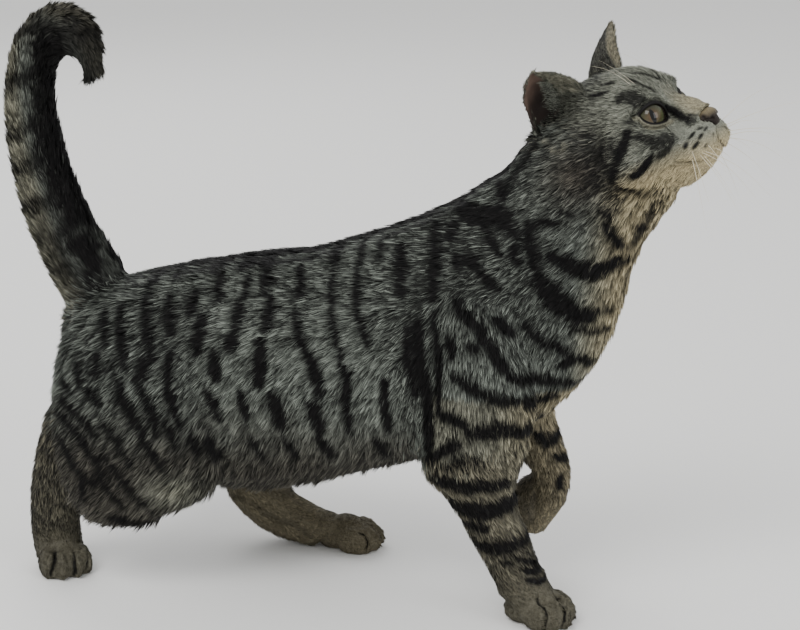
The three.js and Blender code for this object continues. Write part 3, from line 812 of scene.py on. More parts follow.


# ---------------------------------------------------------------- markings

# stripes as (half width, places) in millimetres: x and z on the side of the trunk
TRUNK_STRIPES = [
    (3.2, [(-55, 222), (-51, 214), (-50, 208)]), (2.9, [(-52, 196), (-48, 185), (-43, 175)]),
    (3.9, [(-43, 175), (-37, 164), (-34, 149)]), (3.9, [(-39, 140), (-37, 134), (-35, 123)]),
    (2.6, [(-31, 225), (-28, 204), (-26, 191), (-20, 174)]),
    (2.6, [(-21, 172), (-16, 155), (-18, 145), (-16, 122)]), (3.9, [(-34, 234), (-31, 228)]),
    (2.6, [(-15, 238), (-12, 208), (-8, 192), (-3, 181)]), (2.0, [(-2, 240), (-1, 231)]),
    (3.9, [(12, 238), (16, 225), (16, 215)]), (2.6, [(7, 159), (7, 142), (8, 124)]),
    (3.9, [(-76, 218), (-75, 209)]), (3.2, [(-88, 213), (-87, 207)]), (3.6, [(-108, 212), (-105, 204)]),
    (3.9, [(-90, 200), (-90, 188)]), (3.9, [(-69, 203), (-70, 187)]), (4.2, [(-73, 177), (-74, 152)]),
    (3.9, [(-92, 180), (-94, 175)]), (3.9, [(-122, 202), (-123, 193)]), (4.5, [(-115, 188), (-116, 171)]),
    (3.9, [(-104, 169), (-103, 153)]), (3.2, [(-108, 145), (-102, 127)]), (2.9, [(-86, 146), (-83, 129)]),
    (3.9, [(-65, 145), (-59, 123)]), (3.2, [(-139, 198), (-135, 179)]),
    (2.6, [(-134, 167), (-133, 142), (-125, 121)]), (2.6, [(-158, 197), (-145, 164)]),
    (2.6, [(-173, 191), (-162, 158)]), (2.0, [(-184, 188), (-178, 171)]), (2.0, [(-183, 164), (-183, 150)]),
    (2.6, [(-151, 163), (-149, 153)]), (2.6, [(-155, 151), (-146, 136), (-141, 115)]),
    (2.9, [(-168, 150), (-162, 136), (-151, 116)]), (2.0, [(-196, 158), (-195, 142)]),
    (3.2, [(-188, 140), (-182, 134)]), (2.0, [(-210, 143), (-203, 138)]),
    (2.6, [(-210, 130), (-195, 123), (-183, 111)]), (2.6, [(-214, 122), (-197, 110), (-180, 88)]),
    (2.4, [(-178, 119), (-167, 108), (-159, 94)]), (2.3, [(-177, 96), (-169, 87), (-162, 77), (-147, 61)]),
    (2.6, [(-214, 105), (-201, 87), (-186, 76)]), (2.1, [(-183, 85), (-178, 75), (-166, 63)]),
    (2.6, [(-195, 76), (-195, 65)]), (2.6, [(-151, 112), (-145, 102), (-136, 91)]),
    (2.6, [(-135, 123), (-128, 107)]), (2.6, [(-119, 113), (-115, 103)]),
    (3.2, [(-118, 217), (-110, 219)]), (3.2, [(-98, 220), (-89, 221)]), (3.2, [(-83, 222), (-78, 224)]),
    (2.6, [(-156, 209), (-158, 201)]), (2.0, [(-142, 213), (-141, 209)]), (2.6, [(-176, 54), (-155, 49)]),
    (2.6, [(-81, 113), (-72, 96)]), (2.6, [(-58, 115), (-53, 101)]), (3.2, [(-36, 115), (-30, 103)]),
    (2.6, [(-110, 112), (-104, 98)]), (2.6, [(-1, 116), (4, 103)]),
]
# shoulder, neck and chest
SHOULDER_STRIPES = [
    (3.2, [(33, 254), (36, 235), (37, 213)]), (3.4, [(29, 196), (29, 172), (34, 147), (36, 112)]),
    (2.2, [(22, 192), (21, 172), (26, 150)]),
    (2.4, [(37, 200), (41, 178), (42, 146)]), (2.6, [(49, 238), (51, 229)]), (3.9, [(57, 236), (62, 233)]),
    (3.2, [(51, 212), (56, 203), (68, 195), (70, 188)]), (3.2, [(48, 187), (50, 177)]),
    (2.9, [(71, 189), (79, 177), (87, 166)]), (2.6, [(61, 184), (66, 182)]),
    (3.2, [(87, 166), (106, 159), (121, 154)]), (3.2, [(53, 164), (67, 157), (83, 151), (91, 150)]),
    (3.2, [(96, 150), (102, 145), (110, 147)]), (3.2, [(44, 140), (61, 135)]),
    (4.5, [(64, 129), (82, 133), (98, 129)]), (3.2, [(39, 111), (56, 122)]),
    (4.5, [(37, 107), (44, 102), (63, 109), (85, 100)]), (3.2, [(67, 99), (85, 100)]),
    (3.9, [(95, 260), (98, 239), (103, 225)]), (5.9, [(103, 225), (113, 212), (124, 204), (132, 203)]),
    (2.0, [(133, 206), (144, 204)]), (4.5, [(110, 240), (124, 234), (133, 231), (147, 236)]),
    (2.6, [(147, 237), (155, 237)]), (2.0, [(124, 194), (141, 191)]),
    (2.9, [(94, 197), (103, 187), (118, 179), (132, 168)]), (2.6, [(115, 168), (122, 173)]),
    (4.5, [(48, 264), (62, 261), (75, 264), (86, 254)]), (3.2, [(73, 279), (76, 273)]),
    (3.2, [(85, 244), (89, 236)]), (2.6, [(66, 255), (77, 240)]), (2.6, [(65, 227), (77, 219)]),
    (2.6, [(77, 201), (86, 191)]), (3.9, [(46, 255), (44, 249)]), (2.0, [(101, 262), (112, 261)]),
    (2.0, [(114, 269), (121, 267)]), (3.2, [(142, 260), (150, 247)]), (2.6, [(159, 259), (163, 258)]),
    (2.0, [(138, 269), (146, 266)]),
]
FORE_RIGHT_STRIPES = [
    (4.5, [(50, 78), (70, 77), (88, 81)]), (2.6, [(59, 66), (73, 65)]), (3.2, [(65, 52), (83, 53), (96, 56)]),
    (1.2, [(92, 47), (100, 43), (106, 39)]), (1.5, [(98, 38), (108, 35)]), (1.3, [(100, 32), (111, 29)]),
    (1.1, [(84, 43), (92, 42)]), (3.4, [(38, 96), (60, 93), (84, 95)]),
]
FORE_LEFT_STRIPES = [
    (3.9, [(91, 105), (98, 100), (105, 103)]), (2.0, [(104, 90), (110, 85)]), (2.0, [(107, 77), (107, 68)]),
    (3.0, [(60, 112), (74, 108)]), (2.4, [(62, 96), (78, 92)]), (2.0, [(60, 80), (74, 78)]),
]
# painted shade down the rear side of the lifted leg
FORE_LEFT_SHADE = [(6, [(82, 90), (84, 71), (84, 58), (86, 45)])]
# on the head, in its own frame: x ahead, y outwards, z up from between the eyes
FACE_STRIPES = [
    (3.0, [(-14, -37, -4), (-22, -42, -14), (-36, -43, -29)]),
    (3.0, [(2, -10, 0), (6, -10, -5), (12, -11, -11)]),
    (2.3, [(-7, -34, -23), (-12, -37, -27), (-21, -41, -30)]),
    (2.3, [(-42, -46, -27), (-30, -39, -36), (-19, -27, -47)]),
    (0.8, [(21, -12, -19), (18, -13, -19)]), (1.0, [(16, -15, -20), (13, -18, -22)]),
    (1.1, [(12, -20, -23), (9, -21, -26)]), (0.8, [(23, -10, -20), (22, -13, -21)]),
    (1.0, [(21, -15, -22), (19, -18, -24)]), (1.0, [(18, -19, -26), (14, -20, -28)]),
    (0.6, [(24, -8, -25), (23, -11, -27)]), (0.7, [(22, -14, -28), (20, -17, -30)]),
    (0.9, [(14, -9, -9), (19, -9, -11)]), (0.9, [(-12, -13, 26), (-2, -17, 18), (3, -15, 12)]),
    (0.9, [(-9, -8, 27), (-2, -4, 22), (1, 0, 17)]), (1.0, [(-4, -21, 19), (2, -20, 14)]),
    (1.3, [(-28, -18, 29), (-19, -17, 27)]), (1.3, [(-35, -23, 25), (-24, -22, 23)]),
    (1.2, [(-26, -6, 31), (-12, -4, 28)]), (1.8, [(-56, -12, 24), (-36, -10, 30)]),
    (1.8, [(-58, -4, 22), (-36, -3, 31)]), (1.4, [(-52, -19, 22), (-34, -16, 28)]),
]
# softer smudges of the face, half as dark
FACE_SMUDGES = [
    (4.4, [(-14, -25, 17), (-4, -25, 12)]), (3.4, [(-9, -35, -9), (-1, -33, -16), (7, -24, -17)]),
    (2.6, [(7, -24, -18), (1, -27, -23), (-4, -31, -24)]), (2.2, [(11, -12, -12), (16, -10, -14)]),
    (1.8, [(-32, -39, -4), (-33, -44, -16)]), (1.4, [(-7, -32, 2), (-14, -35, 2)]),
    (1.6, [(-24, -41, -6), (-30, -43, -18)]), (2.0, [(-3, -12, 8), (0, -10, 14)]),
]


def stripe_field(places, stripes, ragged, soft=1.5, spread=1.3):
    """How dark the stripes make each place, from 0 to 1; their ends taper and their edges are ragged."""
    dark = np.zeros(len(places))
    for half, line in stripes:
        line = np.array(line, float)
        low, high = line.min(axis=0) - 1.6 * half - 4, line.max(axis=0) + 1.6 * half + 4
        near = np.flatnonzero(np.all((places > low) & (places < high), axis=1))
        if not len(near):
            continue
        distance, walked, _ = along_line(places[near], line)
        broad = spread if np.isscalar(spread) else spread[near]
        length = float(np.sum(np.linalg.norm(np.diff(line, axis=0), axis=1)))
        share = walked / max(length, 1e-6)
        width = broad * half * (0.66 + 0.34 * np.sin(math.pi * np.clip(share, 0.06, 0.94)) ** 0.6)
        level = 1 - smoothstep(width - soft * 0.7, width + soft * 0.7, distance + ragged[near] * 0.28 * half)
        dark[near] = np.maximum(dark[near], level)
    return dark


def is_node(nodes, *names):
    return np.isin(nodes, [FLESH.index(name) for name in names])


def set_by_node(level, nodes, *rules):
    """Gives some nodes a level of their own: each rule holds their names and that level."""
    for names, own_level in rules:
        level = np.where(is_node(nodes, *names), own_level, level)
    return level


TAIL_RINGS = (366, 333, 301, 277, 253, 231, 212)        # height of each ring over the floor
RING_HALF = 4.0         # half a ring's width
TAIL_HALF = 19.0        # half the tail's thickness


def tail_marks(points, ragged):
    """Black down the front, rings on the rear only, ticked dark at the root and black-brown at the tip."""
    _, place, way = along_line(points, TAIL_LINE)
    line = np.array(TAIL_LINE)
    lengths = np.append(0, np.cumsum(np.linalg.norm(np.diff(line, axis=0), axis=1)))
    middle = np.stack([np.interp(place, lengths, line[:, k]) for k in range(3)], axis=1)
    front = np.sum((points - middle) * np.cross([0.0, 1.0, 0.0], way), axis=1) / TAIL_HALF
    dark = smoothstep(-0.24, 0.26, front + 0.16 * ragged - 0.2 * smoothstep(295, 345, points[:, 2]))
    high = points[:, 2] + 3.0 * ragged - 5 * front
    for height in TAIL_RINGS:
        ring = 1 - smoothstep(RING_HALF - 1, RING_HALF + 3.5, np.abs(high - height))
        dark = np.maximum(dark, 0.9 * ring)
    root = 1 - smoothstep(215, 262, points[:, 2] + 30 * front)
    ticks = (1 - smoothstep(205, 262, points[:, 2])) * smoothstep(-0.1, 0.5, noise(points, 6, 21))
    dark = dark * (1 - 0.5 * ticks)
    dark = np.maximum(dark, 0.72 * root * smoothstep(-1.1, -0.5, front))
    tip = smoothstep(lengths[-2] - 12, lengths[-2] + 2, place + 4 * ragged)
    dark = np.maximum(dark, 0.85 * tip)
    hook = smoothstep(lengths[-4] - 2, lengths[-4] + 10, place + 4 * ragged)
    dark = np.maximum(dark, hook * mix(0.25, 0.75, smoothstep(0.0, 0.5, front)))
    return dark, front


def groin(points):
    """The pale patch low on the flank in front of the thigh, from 0 to 1."""
    x, _, z = points.T
    return np.exp(-(((x + 132) / 20) ** 2 + ((z - 76) / 12) ** 2))


def base_dark(points, nodes):
    """The share of black hairs ticked through the silver, part by part, with painted shade behind the
    shoulder and on the top of the far hind leg.
    """
    x, _, z = points.T
    own = to_head(points)
    level = 0.26 + 0.2 * smoothstep(185, 222, z)
    level = level + 0.3 * smoothstep(-105, -170, x)
    shoulder = smoothstep(0, 30, x) * (1 - smoothstep(95, 130, x + 0.25 * (z - 200)))
    level = level + 0.17 * shoulder * smoothstep(120, 200, z)
    # a dark band behind the shoulder: the tabby's own band, widened with painted shade where the foreleg
    # meets the trunk
    band_and_shade_behind_shoulder = np.exp(-((x - 26) / 9) ** 2) * smoothstep(105, 128, z) * (1 - smoothstep(200, 225, z))
    level = level + 0.4 * band_and_shade_behind_shoulder
    level = np.where(is_node(nodes, *THIGHS), 0.4, level)
    neck = is_node(nodes, "neck", "chest") & (x > 95)
    side = 1 - smoothstep(100, 150, x - 0.35 * (z - 200))
    level = np.where(neck, 0.06 + 0.36 * side, level)
    low = (1 - smoothstep(85, 120, z)) * is_node(nodes, "belly", "rump", "chest")
    level = level + 0.2 * low
    level = level * (1 - 0.6 * groin(points))
    rear = smoothstep(-14, -46, own[:, 0]) * (1 - smoothstep(2, 20, own[:, 2]))
    crown = smoothstep(-16, -44, own[:, 0]) * smoothstep(8, 24, own[:, 2])
    cheek = smoothstep(4, -12, own[:, 0]) * smoothstep(6, -10, own[:, 2]) * smoothstep(-40, -28, own[:, 2])
    chin = 1 - smoothstep(-30, -22, own[:, 2])
    level = set_by_node(
        level, nodes,
        (FORELEGS, 0.2 + 0.2 * smoothstep(150, 200, z) + 0.26 * smoothstep(80, 50, z)),
        (("shank_right",), 0.5),
        # the far hind leg darker at its top: painted shadow under the belly
        (("shank_left",), 0.1 + 0.4 * smoothstep(48, 82, z)),
        (PAWS, 0.27),
        (("head",), 0.2 + 0.5 * rear + 0.34 * crown + 0.22 * cheek - 0.1 * chin),
        (("ear_right",), 0.25),
        (("ear_left",), 0.72),
    )
    return np.clip(level + 0.14 * noise(points, 16, 31), 0, 0.9)


def body_marks(points, nodes, ragged):
    """The stripes of the body and legs, with painted shade on the rear of the lifted leg, from 0 to 1."""
    x, y, z = points.T
    seen = points[:, [0, 2]]
    warp = np.stack([5 * noise(points, 30, 11) + 4, 4 * noise(points, 26, 12) - 2], axis=1)
    flat = seen + np.where((y < MIDDLE)[:, None], 0.0, warp)
    broad = 1.4 + 0.2 * smoothstep(-110, -150, x) * smoothstep(105, 140, z)
    dark = stripe_field(flat, TRUNK_STRIPES, ragged, spread=broad)
    dark = np.maximum(dark, stripe_field(flat, SHOULDER_STRIPES, ragged, spread=1.45))
    arm = is_node(nodes, "forearm_right", "paw_fore_right")
    dark = np.where(arm, stripe_field(flat, FORE_RIGHT_STRIPES, ragged, spread=1.6), dark)
    arm = is_node(nodes, "forearm_left", "paw_fore_left")
    lifted = stripe_field(seen, FORE_LEFT_STRIPES, ragged)
    # painted shade down the rear of the lifted leg
    shade = 0.6 * stripe_field(seen, FORE_LEFT_SHADE, ragged, soft=5)
    dark = np.where(arm, np.maximum(lifted, shade), dark)

    # saddle: a near-black line along the spine with broken lines beside it
    trunk = is_node(nodes, *TRUNK)
    off = np.abs(y - MIDDLE + 1.5 * noise(points, 22, 5))
    high = smoothstep(200, 216, z) * trunk
    spine = (1 - smoothstep(7, 12, off + 2 * ragged)) * high
    beside = (1 - smoothstep(2, 5, np.abs(off - 19) + 1.5 * ragged)) * high
    beside *= smoothstep(-0.35, 0.05, noise(points * (1, 0, 0), 15, 6))
    dark = np.maximum(dark, np.maximum(spine, 0.9 * beside))
    dark = dark * (1 - 0.5 * groin(points))

    # close lines on the rump and thigh, between the drawn ones, and faint ones between the flank's bands
    wave = np.sin((x * 0.93 - z * 0.36 + 5 * noise(points, 20, 7)) * 2 * math.pi / 11.5)
    fine = smoothstep(0.35, 0.9, wave) * smoothstep(-0.35, 0.2, noise(points, 12, 8))
    dark = np.maximum(dark, 0.7 * fine * (1 - smoothstep(-150, -110, x)) * smoothstep(70, 120, z) * trunk)
    wave = np.sin((x + 0.12 * z + 4 * noise(points, 18, 9)) * 2 * math.pi / 9.5)
    fine = smoothstep(0.5, 0.95, wave) * smoothstep(-0.2, 0.4, noise(points, 10, 10))
    dark = np.maximum(dark, 0.4 * fine * trunk * smoothstep(-150, -110, x))
    front = smoothstep(118, 140, x) * is_node(nodes, "neck", "chest")
    dark = dark * (1 - 0.75 * front * smoothstep(12, 3, np.abs(y - MIDDLE)))

    # hind legs: short bars
    wave = np.sin((z * 0.8 + x * 0.3 + 3 * noise(points, 14, 13)) * 2 * math.pi / 15)
    bars = 0.42 * smoothstep(0.35, 0.9, wave)
    return np.where(is_node(nodes, *SHANKS), np.maximum(dark, bars), dark)


def face_marks(points, mirrored, ragged):
    """The stripes, smudges and lash lines of the face, and the bags under the eyes, each 0 to 1."""
    face = stripe_field(mirrored, FACE_STRIPES, 0.7 * ragged, soft=1.4)
    face = np.maximum(face, 0.88 * stripe_field(mirrored, FACE_SMUDGES, 1.8 * ragged, soft=2.2))
    lash, bag = np.zeros(len(points)), np.zeros(len(points))
    for gap, height in round_eyes(points, 20):
        above = smoothstep(-1.5, 1.5, height)
        lash = np.maximum(lash, (1 - smoothstep(1.8, 3.6, gap)) * above)
        bag = np.maximum(bag, 0.9 * (1 - smoothstep(3.6, 5.2, gap)) * (1 - above))
    return np.maximum(face * (1 - bag), lash), bag


def warm_share(points, nodes, own, bag, fold):
    """How cream each place is: chin, throat, front of the chest, insides of the legs and the groin."""
    x, _, z = points.T
    chin = smoothstep(-16, -38, own[:, 2]) * smoothstep(-60, -25, own[:, 0])
    bridge = smoothstep(-17, -8, own[:, 2]) * smoothstep(-6, 18, own[:, 0])
    bridge = bridge * smoothstep(13, 5, np.abs(own[:, 1]))
    throat = smoothstep(118, 150, x - 0.12 * (z - 200))
    head = is_node(nodes, "head", *EARS)
    warm = np.where(head, np.maximum(np.maximum(chin, 0.62 * bridge), 0.4 * bag), 0.85 * throat)
    arm = is_node(nodes, "upper_arm_right", "upper_arm_left", "chest") & (z < 150) & (x > 35)
    warm = set_by_node(
        warm, nodes, (LOWER_LEGS, 0.45), (FAR_LEGS, 0.75),
        # the far hind leg less cream at its top, with the painted shadow under the belly
        (("shank_left",), 0.75 - 0.45 * smoothstep(48, 82, z)),
    )
    warm = np.where(arm, 0.25 + 0.5 * smoothstep(70, 110, x), warm)
    for least in (0.14 * head, 0.3 * fold, 0.25 * groin(points) * is_node(nodes, *TRUNK)):
        warm = np.maximum(warm, least)
    return set_by_node(warm, nodes, (EARS, 0.2))


def earth_share(points, nodes, ear_foot_shade):
    """How brown each place is: low belly, lower legs, the ears, and the painted brown shade below each ear.
    """
    low = 1 - smoothstep(84, 150, points[:, 2] + 7 * noise(points, 14, 15))
    earth = set_by_node(0.0, nodes, (TRUNK, 0.7 * low * (1 - groin(points))), (LOWER_LEGS, 0.25))
    # brown painted shade below each ear
    earth = np.maximum(earth, 0.85 * ear_foot_shade)
    return set_by_node(earth, nodes, (("ear_left",), 0.25), (("ear_right",), 0.12))


def markings(points, nodes, jitter=0.0, dice=None):
    """The tabby's marks at places on the skin, with painted shade in some hollows and creases: dark, warm and
    earthy shares, each 0 to 1.

    A blade of hair has a jitter, which frays the marks, and dice, which turn it black or leave it pale.
    """
    ragged = noise(points, 5.0, 3) + 0.6 * noise(points, 2.2, 4) + jitter
    own = to_head(points)
    mirrored = own.copy()
    mirrored[:, 1] = -np.abs(own[:, 1]) + np.where(own[:, 1] > 0, 0.8 * noise(points, 9, 14), 0)
    face, bag = face_marks(points, mirrored, ragged)
    dark = np.maximum(body_marks(points, nodes, ragged), face)
    dark = np.where(is_node(nodes, "head", *EARS), face, dark)

    # fold of each ear, painted shade in the pocket at its foot and below the ear, and the pale front of the
    # left one
    fold = 1 - smoothstep(1.2, 3.0, along_line(mirrored, EAR_FOLD)[0] + 0.3 * ragged)
    # painted shade inside the pocket at the ear's outer foot
    pocket = np.exp(-(np.linalg.norm(mirrored - (-61, -42, 13), axis=1) / 6) ** 2)
    # painted shade below each ear, brown-grey
    ear_foot_shade = np.exp(-(np.linalg.norm(mirrored - (-54, -42, -16), axis=1) / 24) ** 2)
    ear_front = smoothstep(-4.5, -2.5, own[:, 0] + 31 + 0.49 * (own[:, 2] - 37)) * is_node(nodes, "ear_left")
    dark = np.maximum(dark, 0.8 * pocket) * (1 - fold)
    ticked = base_dark(points, nodes) * (1 - fold) * (1 - 0.9 * ear_front)
    ticked = np.maximum(ticked, 0.4 * ear_foot_shade)
    warm = np.maximum(warm_share(points, nodes, own, bag, fold), 0.5 * ear_front)
    earth = earth_share(points, nodes, ear_foot_shade)

    tail = is_node(nodes, *TAIL)
    tail_dark, front = tail_marks(points, ragged)
    dark = np.where(tail, tail_dark, dark)
    ticked = np.where(tail, 0.12, ticked)
    warm = np.where(tail, 0.32 * smoothstep(0.1, -0.5, front), warm)
    earth = np.where(tail, 0.1 + 0.3 * smoothstep(345, 370, points[:, 2]), earth)

    if dice is None:
        dark = np.maximum(dark, 0.8 * ticked)
    else:
        chosen = smoothstep(dice - 0.12, dice + 0.12, ticked)
        dark = 1 - (1 - np.clip(dark, 0, 1)) * (1 - 0.88 * chosen)
        dark = dark * (1 - 0.5 * smoothstep(0.93, 0.97, dice))
    return [np.clip(share, 0, 1) for share in (dark, warm, earth)]


def face_light(points):
    """How much paler the face is than the body: most on the whisker pads and along the lower lids."""
    own = to_head(points)
    pad = smoothstep(8, 15, own[:, 0]) * smoothstep(-8, -16, own[:, 2])
    face = smoothstep(-50, -15, own[:, 0])
    under = np.zeros(len(points))
    for gap, height in round_eyes(points, 20):
        under = np.maximum(under, smoothstep(5.6, 3.8, gap) * (height < 0))
    return 0.03 + 0.33 * face + 0.42 * pad + 0.85 * under


# ---------------------------------------------------------------- lie of the coat

def flow_seeds(points, nodes):
    """The way the hair points at each place, before it is laid on the skin."""
    x, _, z = points.T
    way = np.tile([-1.0, 0.0, -0.3], (len(points), 1))

    def put(chosen, direction):
        way[chosen] = direction if np.ndim(direction) == 1 else direction[chosen]

    fall = smoothstep(225, 120, z)
    steep = np.stack([-1.0 + 0.6 * fall, 0 * x, -0.05 - 1.05 * fall], axis=1)
    put(is_node(nodes, "belly", "rump"), steep)
    ahead = smoothstep(60, 130, x)
    put(is_node(nodes, "chest"), steep * (1 - ahead)[:, None] + np.array([-0.35, 0, -1.0]) * ahead[:, None])
    rise = smoothstep(110, 160, x)
    nape = np.array([-0.9, 0, -0.5]) * (1 - rise)[:, None] + np.array([-0.4, 0, -0.95]) * rise[:, None]
    put(is_node(nodes, "neck"), nape)
    for limb in LIMBS.values():
        top, middle, foot = [centre_of(name) for name in limb]
        put(is_node(nodes, limb[0]), unit(middle - top))
        put(is_node(nodes, limb[1]), unit(foot - middle))
        put(is_node(nodes, limb[2]), unit(np.array(TOES[limb[2]])))
    for name in THIGHS:
        lower = smoothstep(170, 90, z)[:, None]
        knee = way[is_node(nodes, name)][0]
        above = np.array([-0.7, 0, -0.7]) * (1 - lower)
        put(is_node(nodes, name), above + unit(knee + (-0.25, 0, -0.6)) * lower)
    put(is_node(nodes, *TAIL), along_line(points, TAIL_LINE)[2])
    own = to_head(points)
    from_nose = own - np.array([31.0, 0, -12.0])
    from_nose[:, 1] *= 0.8
    from_nose = unit(from_nose) + np.array([-0.35, 0, 0])
    put(is_node(nodes, "head"), from_nose @ HEAD_AXES.T)
    for name in EARS:
        mesh_points = points_of(NODES[name].data)
        tip = mesh_points[np.argmax(mesh_points[:, 2])]
        put(is_node(nodes, name), unit(tip - points) + 0.1)
    return unit(way)


def laid_flow(skin, nodes):
    """The lie of the hair as directions along the skin, turning smoothly from one part to the next."""
    way = flow_seeds(skin.points, nodes)
    for _ in range(4):
        way = smoothed(way, skin.edges, 10)
        way -= skin.normals * np.sum(way * skin.normals, axis=1, keepdims=True)
        way = unit(way)
    return way


def hair_lengths(points, nodes):
    """Hair length at each point in millimetres: shortest on the nose and feet, longest under the belly."""
    length = node_field(nodes, HAIR_LENGTH)
    own = to_head(points)
    cheek = smoothstep(-12, -48, own[:, 0]) * smoothstep(16, 0, own[:, 2])
    face = mix(mix(5.5, 3.0, smoothstep(-10, 14, own[:, 0])), 10.0, cheek)
    length = set_by_node(length, nodes, (("head",), face), (PAWS, 2.7), (("shank_left",), 4.2))
    reach = np.linalg.norm(points - TAIL_LINE[-1] - (2, 0, -8), axis=1)
    length = length + 5 * smoothstep(10, 3, reach)
    low = smoothstep(120, 92, points[:, 2]) * is_node(nodes, "belly", "rump", *THIGHS)
    return length + np.where(is_node(nodes, *THIGHS), 2, 6) * low


# ---------------------------------------------------------------- coat

class Coat:
    """Roots of the hair of one piece, and the fields at each."""

    def __init__(self, skin, triangles, chosen, count, seed):
        rng = np.random.default_rng(seed)
        corners = skin.points[triangles]
        crossed = np.cross(corners[:, 1] - corners[:, 0], corners[:, 2] - corners[:, 0])
        weight = np.linalg.norm(crossed, axis=1) / 2 * chosen
        weight = weight / weight.sum()
        pick = rng.choice(len(triangles), size=count, p=weight)
        a, b = rng.random(count), rng.random(count)
        a, b = np.where(a + b > 1, 1 - a, a), np.where(a + b > 1, 1 - b, b)
        self.parts = np.stack([1 - a - b, a, b], axis=1)
        self.corners = triangles[pick]
        self.rng = rng
        self.count = count

    def sample(self, values):
        """A field's value at each root."""
        if values.ndim == 1:
            return np.sum(values[self.corners] * self.parts, axis=1)
        return np.sum(values[self.corners] * self.parts[:, :, None], axis=1)

    def nearest(self, values):
        return values[self.corners[np.arange(self.count), np.argmax(self.parts, axis=1)]]


def clump_centres(roots, size, rng):
    """For each root the index of the root at the middle of its tuft; size is about a tuft's width."""
    warped = roots + 0.35 * size * np.stack([noise(roots, size * 1.7, k) for k in (21, 22, 23)], axis=1)
    keys = np.floor(warped / size).astype(np.int64)
    code = keys @ (1000003, 1009, 1)
    order = rng.permutation(len(roots))
    _, first, inverse = np.unique(code[order], return_index=True, return_inverse=True)
    centre = np.empty(len(roots), np.int64)
    centre[order] = order[first][inverse]
    return centre


def chart_places(points, nodes, names):
    """Each place on an unwrap of the skin: every part round its own axis, in a tile of its own."""
    across = math.ceil(math.sqrt(len(names)))
    down = math.ceil(len(names) / across)
    places = np.full((len(points), 2), 0.5)
    for index, name in enumerate(names):
        chosen = np.flatnonzero(is_node(nodes, name))
        if not len(chosen):
            continue
        own = points[chosen] - points[chosen].mean(axis=0)
        _, _, axes = np.linalg.svd(own[:: max(1, len(own) // 2000)], full_matrices=False)
        along = own @ axes[0]
        angle = np.arctan2(own @ axes[2], own @ axes[1]) / (2 * math.pi) + 0.5
        run = (along - along.min()) / max(np.ptp(along), 1e-6)
        column, row = index % across, index // across
        places[chosen, 0] = (column + 0.02 + 0.96 * angle) / across
        places[chosen, 1] = (row + 0.02 + 0.96 * run) / down
    return places


HEAD_STRAY, BODY_STRAY = 2.0, 5.0       # how far a blade looks round it for the node whose marks it takes
TUFT_PATCH = 0.003      # side of one blade's patch on the unwrap
HAIR_ROOT = 0.5         # how deep a blade's root lies in the skin
HAIR_FULL = 7.0         # from this length on a blade is as wide as its piece says
FLOOR_GAP = 0.15        # hair stays this far over the floor
# a blade's five corners: two at its root, two at its middle and its tip
BLADE_LEVELS = (0.0, 0.5, 1.0)
BLADE_WIDTHS = (0.9, 1.0)
BLADE_FACES = ((0, 3, 1), (0, 2, 3), (2, 4, 3))
BLADE_ALONG = (0.0, 0.0, 0.5, 0.5, 1.0)
BLADE_PATCH = ((-0.5, -0.5), (0.5, -0.5), (-0.5, 0.0), (0.5, 0.0), (0.0, 0.5))


def blade_mesh(name, corners, facing, fields, places):
    """A piece of coat from the corners of its blades, with the way each faces and its place on the unwrap.

    A field holds one value for each blade or one for each corner.
    """
    count = len(corners)
    faces = (np.array(BLADE_FACES)[None] + (np.arange(count) * 5)[:, None, None]).reshape(-1, 3)
    mesh = bpy.data.meshes.new(name)
    mesh.vertices.add(count * 5)
    mesh.vertices.foreach_set("co", (corners.reshape(-1, 3) * MM).astype(np.float32).ravel())
    mesh.loops.add(len(faces) * 3)
    mesh.loops.foreach_set("vertex_index", faces.astype(np.int32).ravel())
    mesh.polygons.add(len(faces))
    mesh.polygons.foreach_set("loop_start", np.arange(0, len(faces) * 3, 3, dtype=np.int32))
    mesh.polygons.foreach_set("use_smooth", np.ones(len(faces), bool))
    mesh.update()
    for key, values in fields.items():
        set_attribute(mesh, key, np.repeat(values, 5) if len(values) == count else values)
    mesh.normals_split_custom_set_from_vertices(np.repeat(facing, 5, axis=0).tolist())
    spots = places[:, None, :] + TUFT_PATCH * np.array(BLADE_PATCH)[None]
    spots = np.clip(spots, 0.001, 0.999).reshape(-1, 2)
    layer = mesh.uv_layers.new(name="OFBake")
    layer.data.foreach_set("uv", spots[faces.ravel()].astype(np.float32).ravel())
    mesh.materials.append(WORK["coat_material"])
    item = linked(name, mesh)
    ride_root(item, "silver_fur")


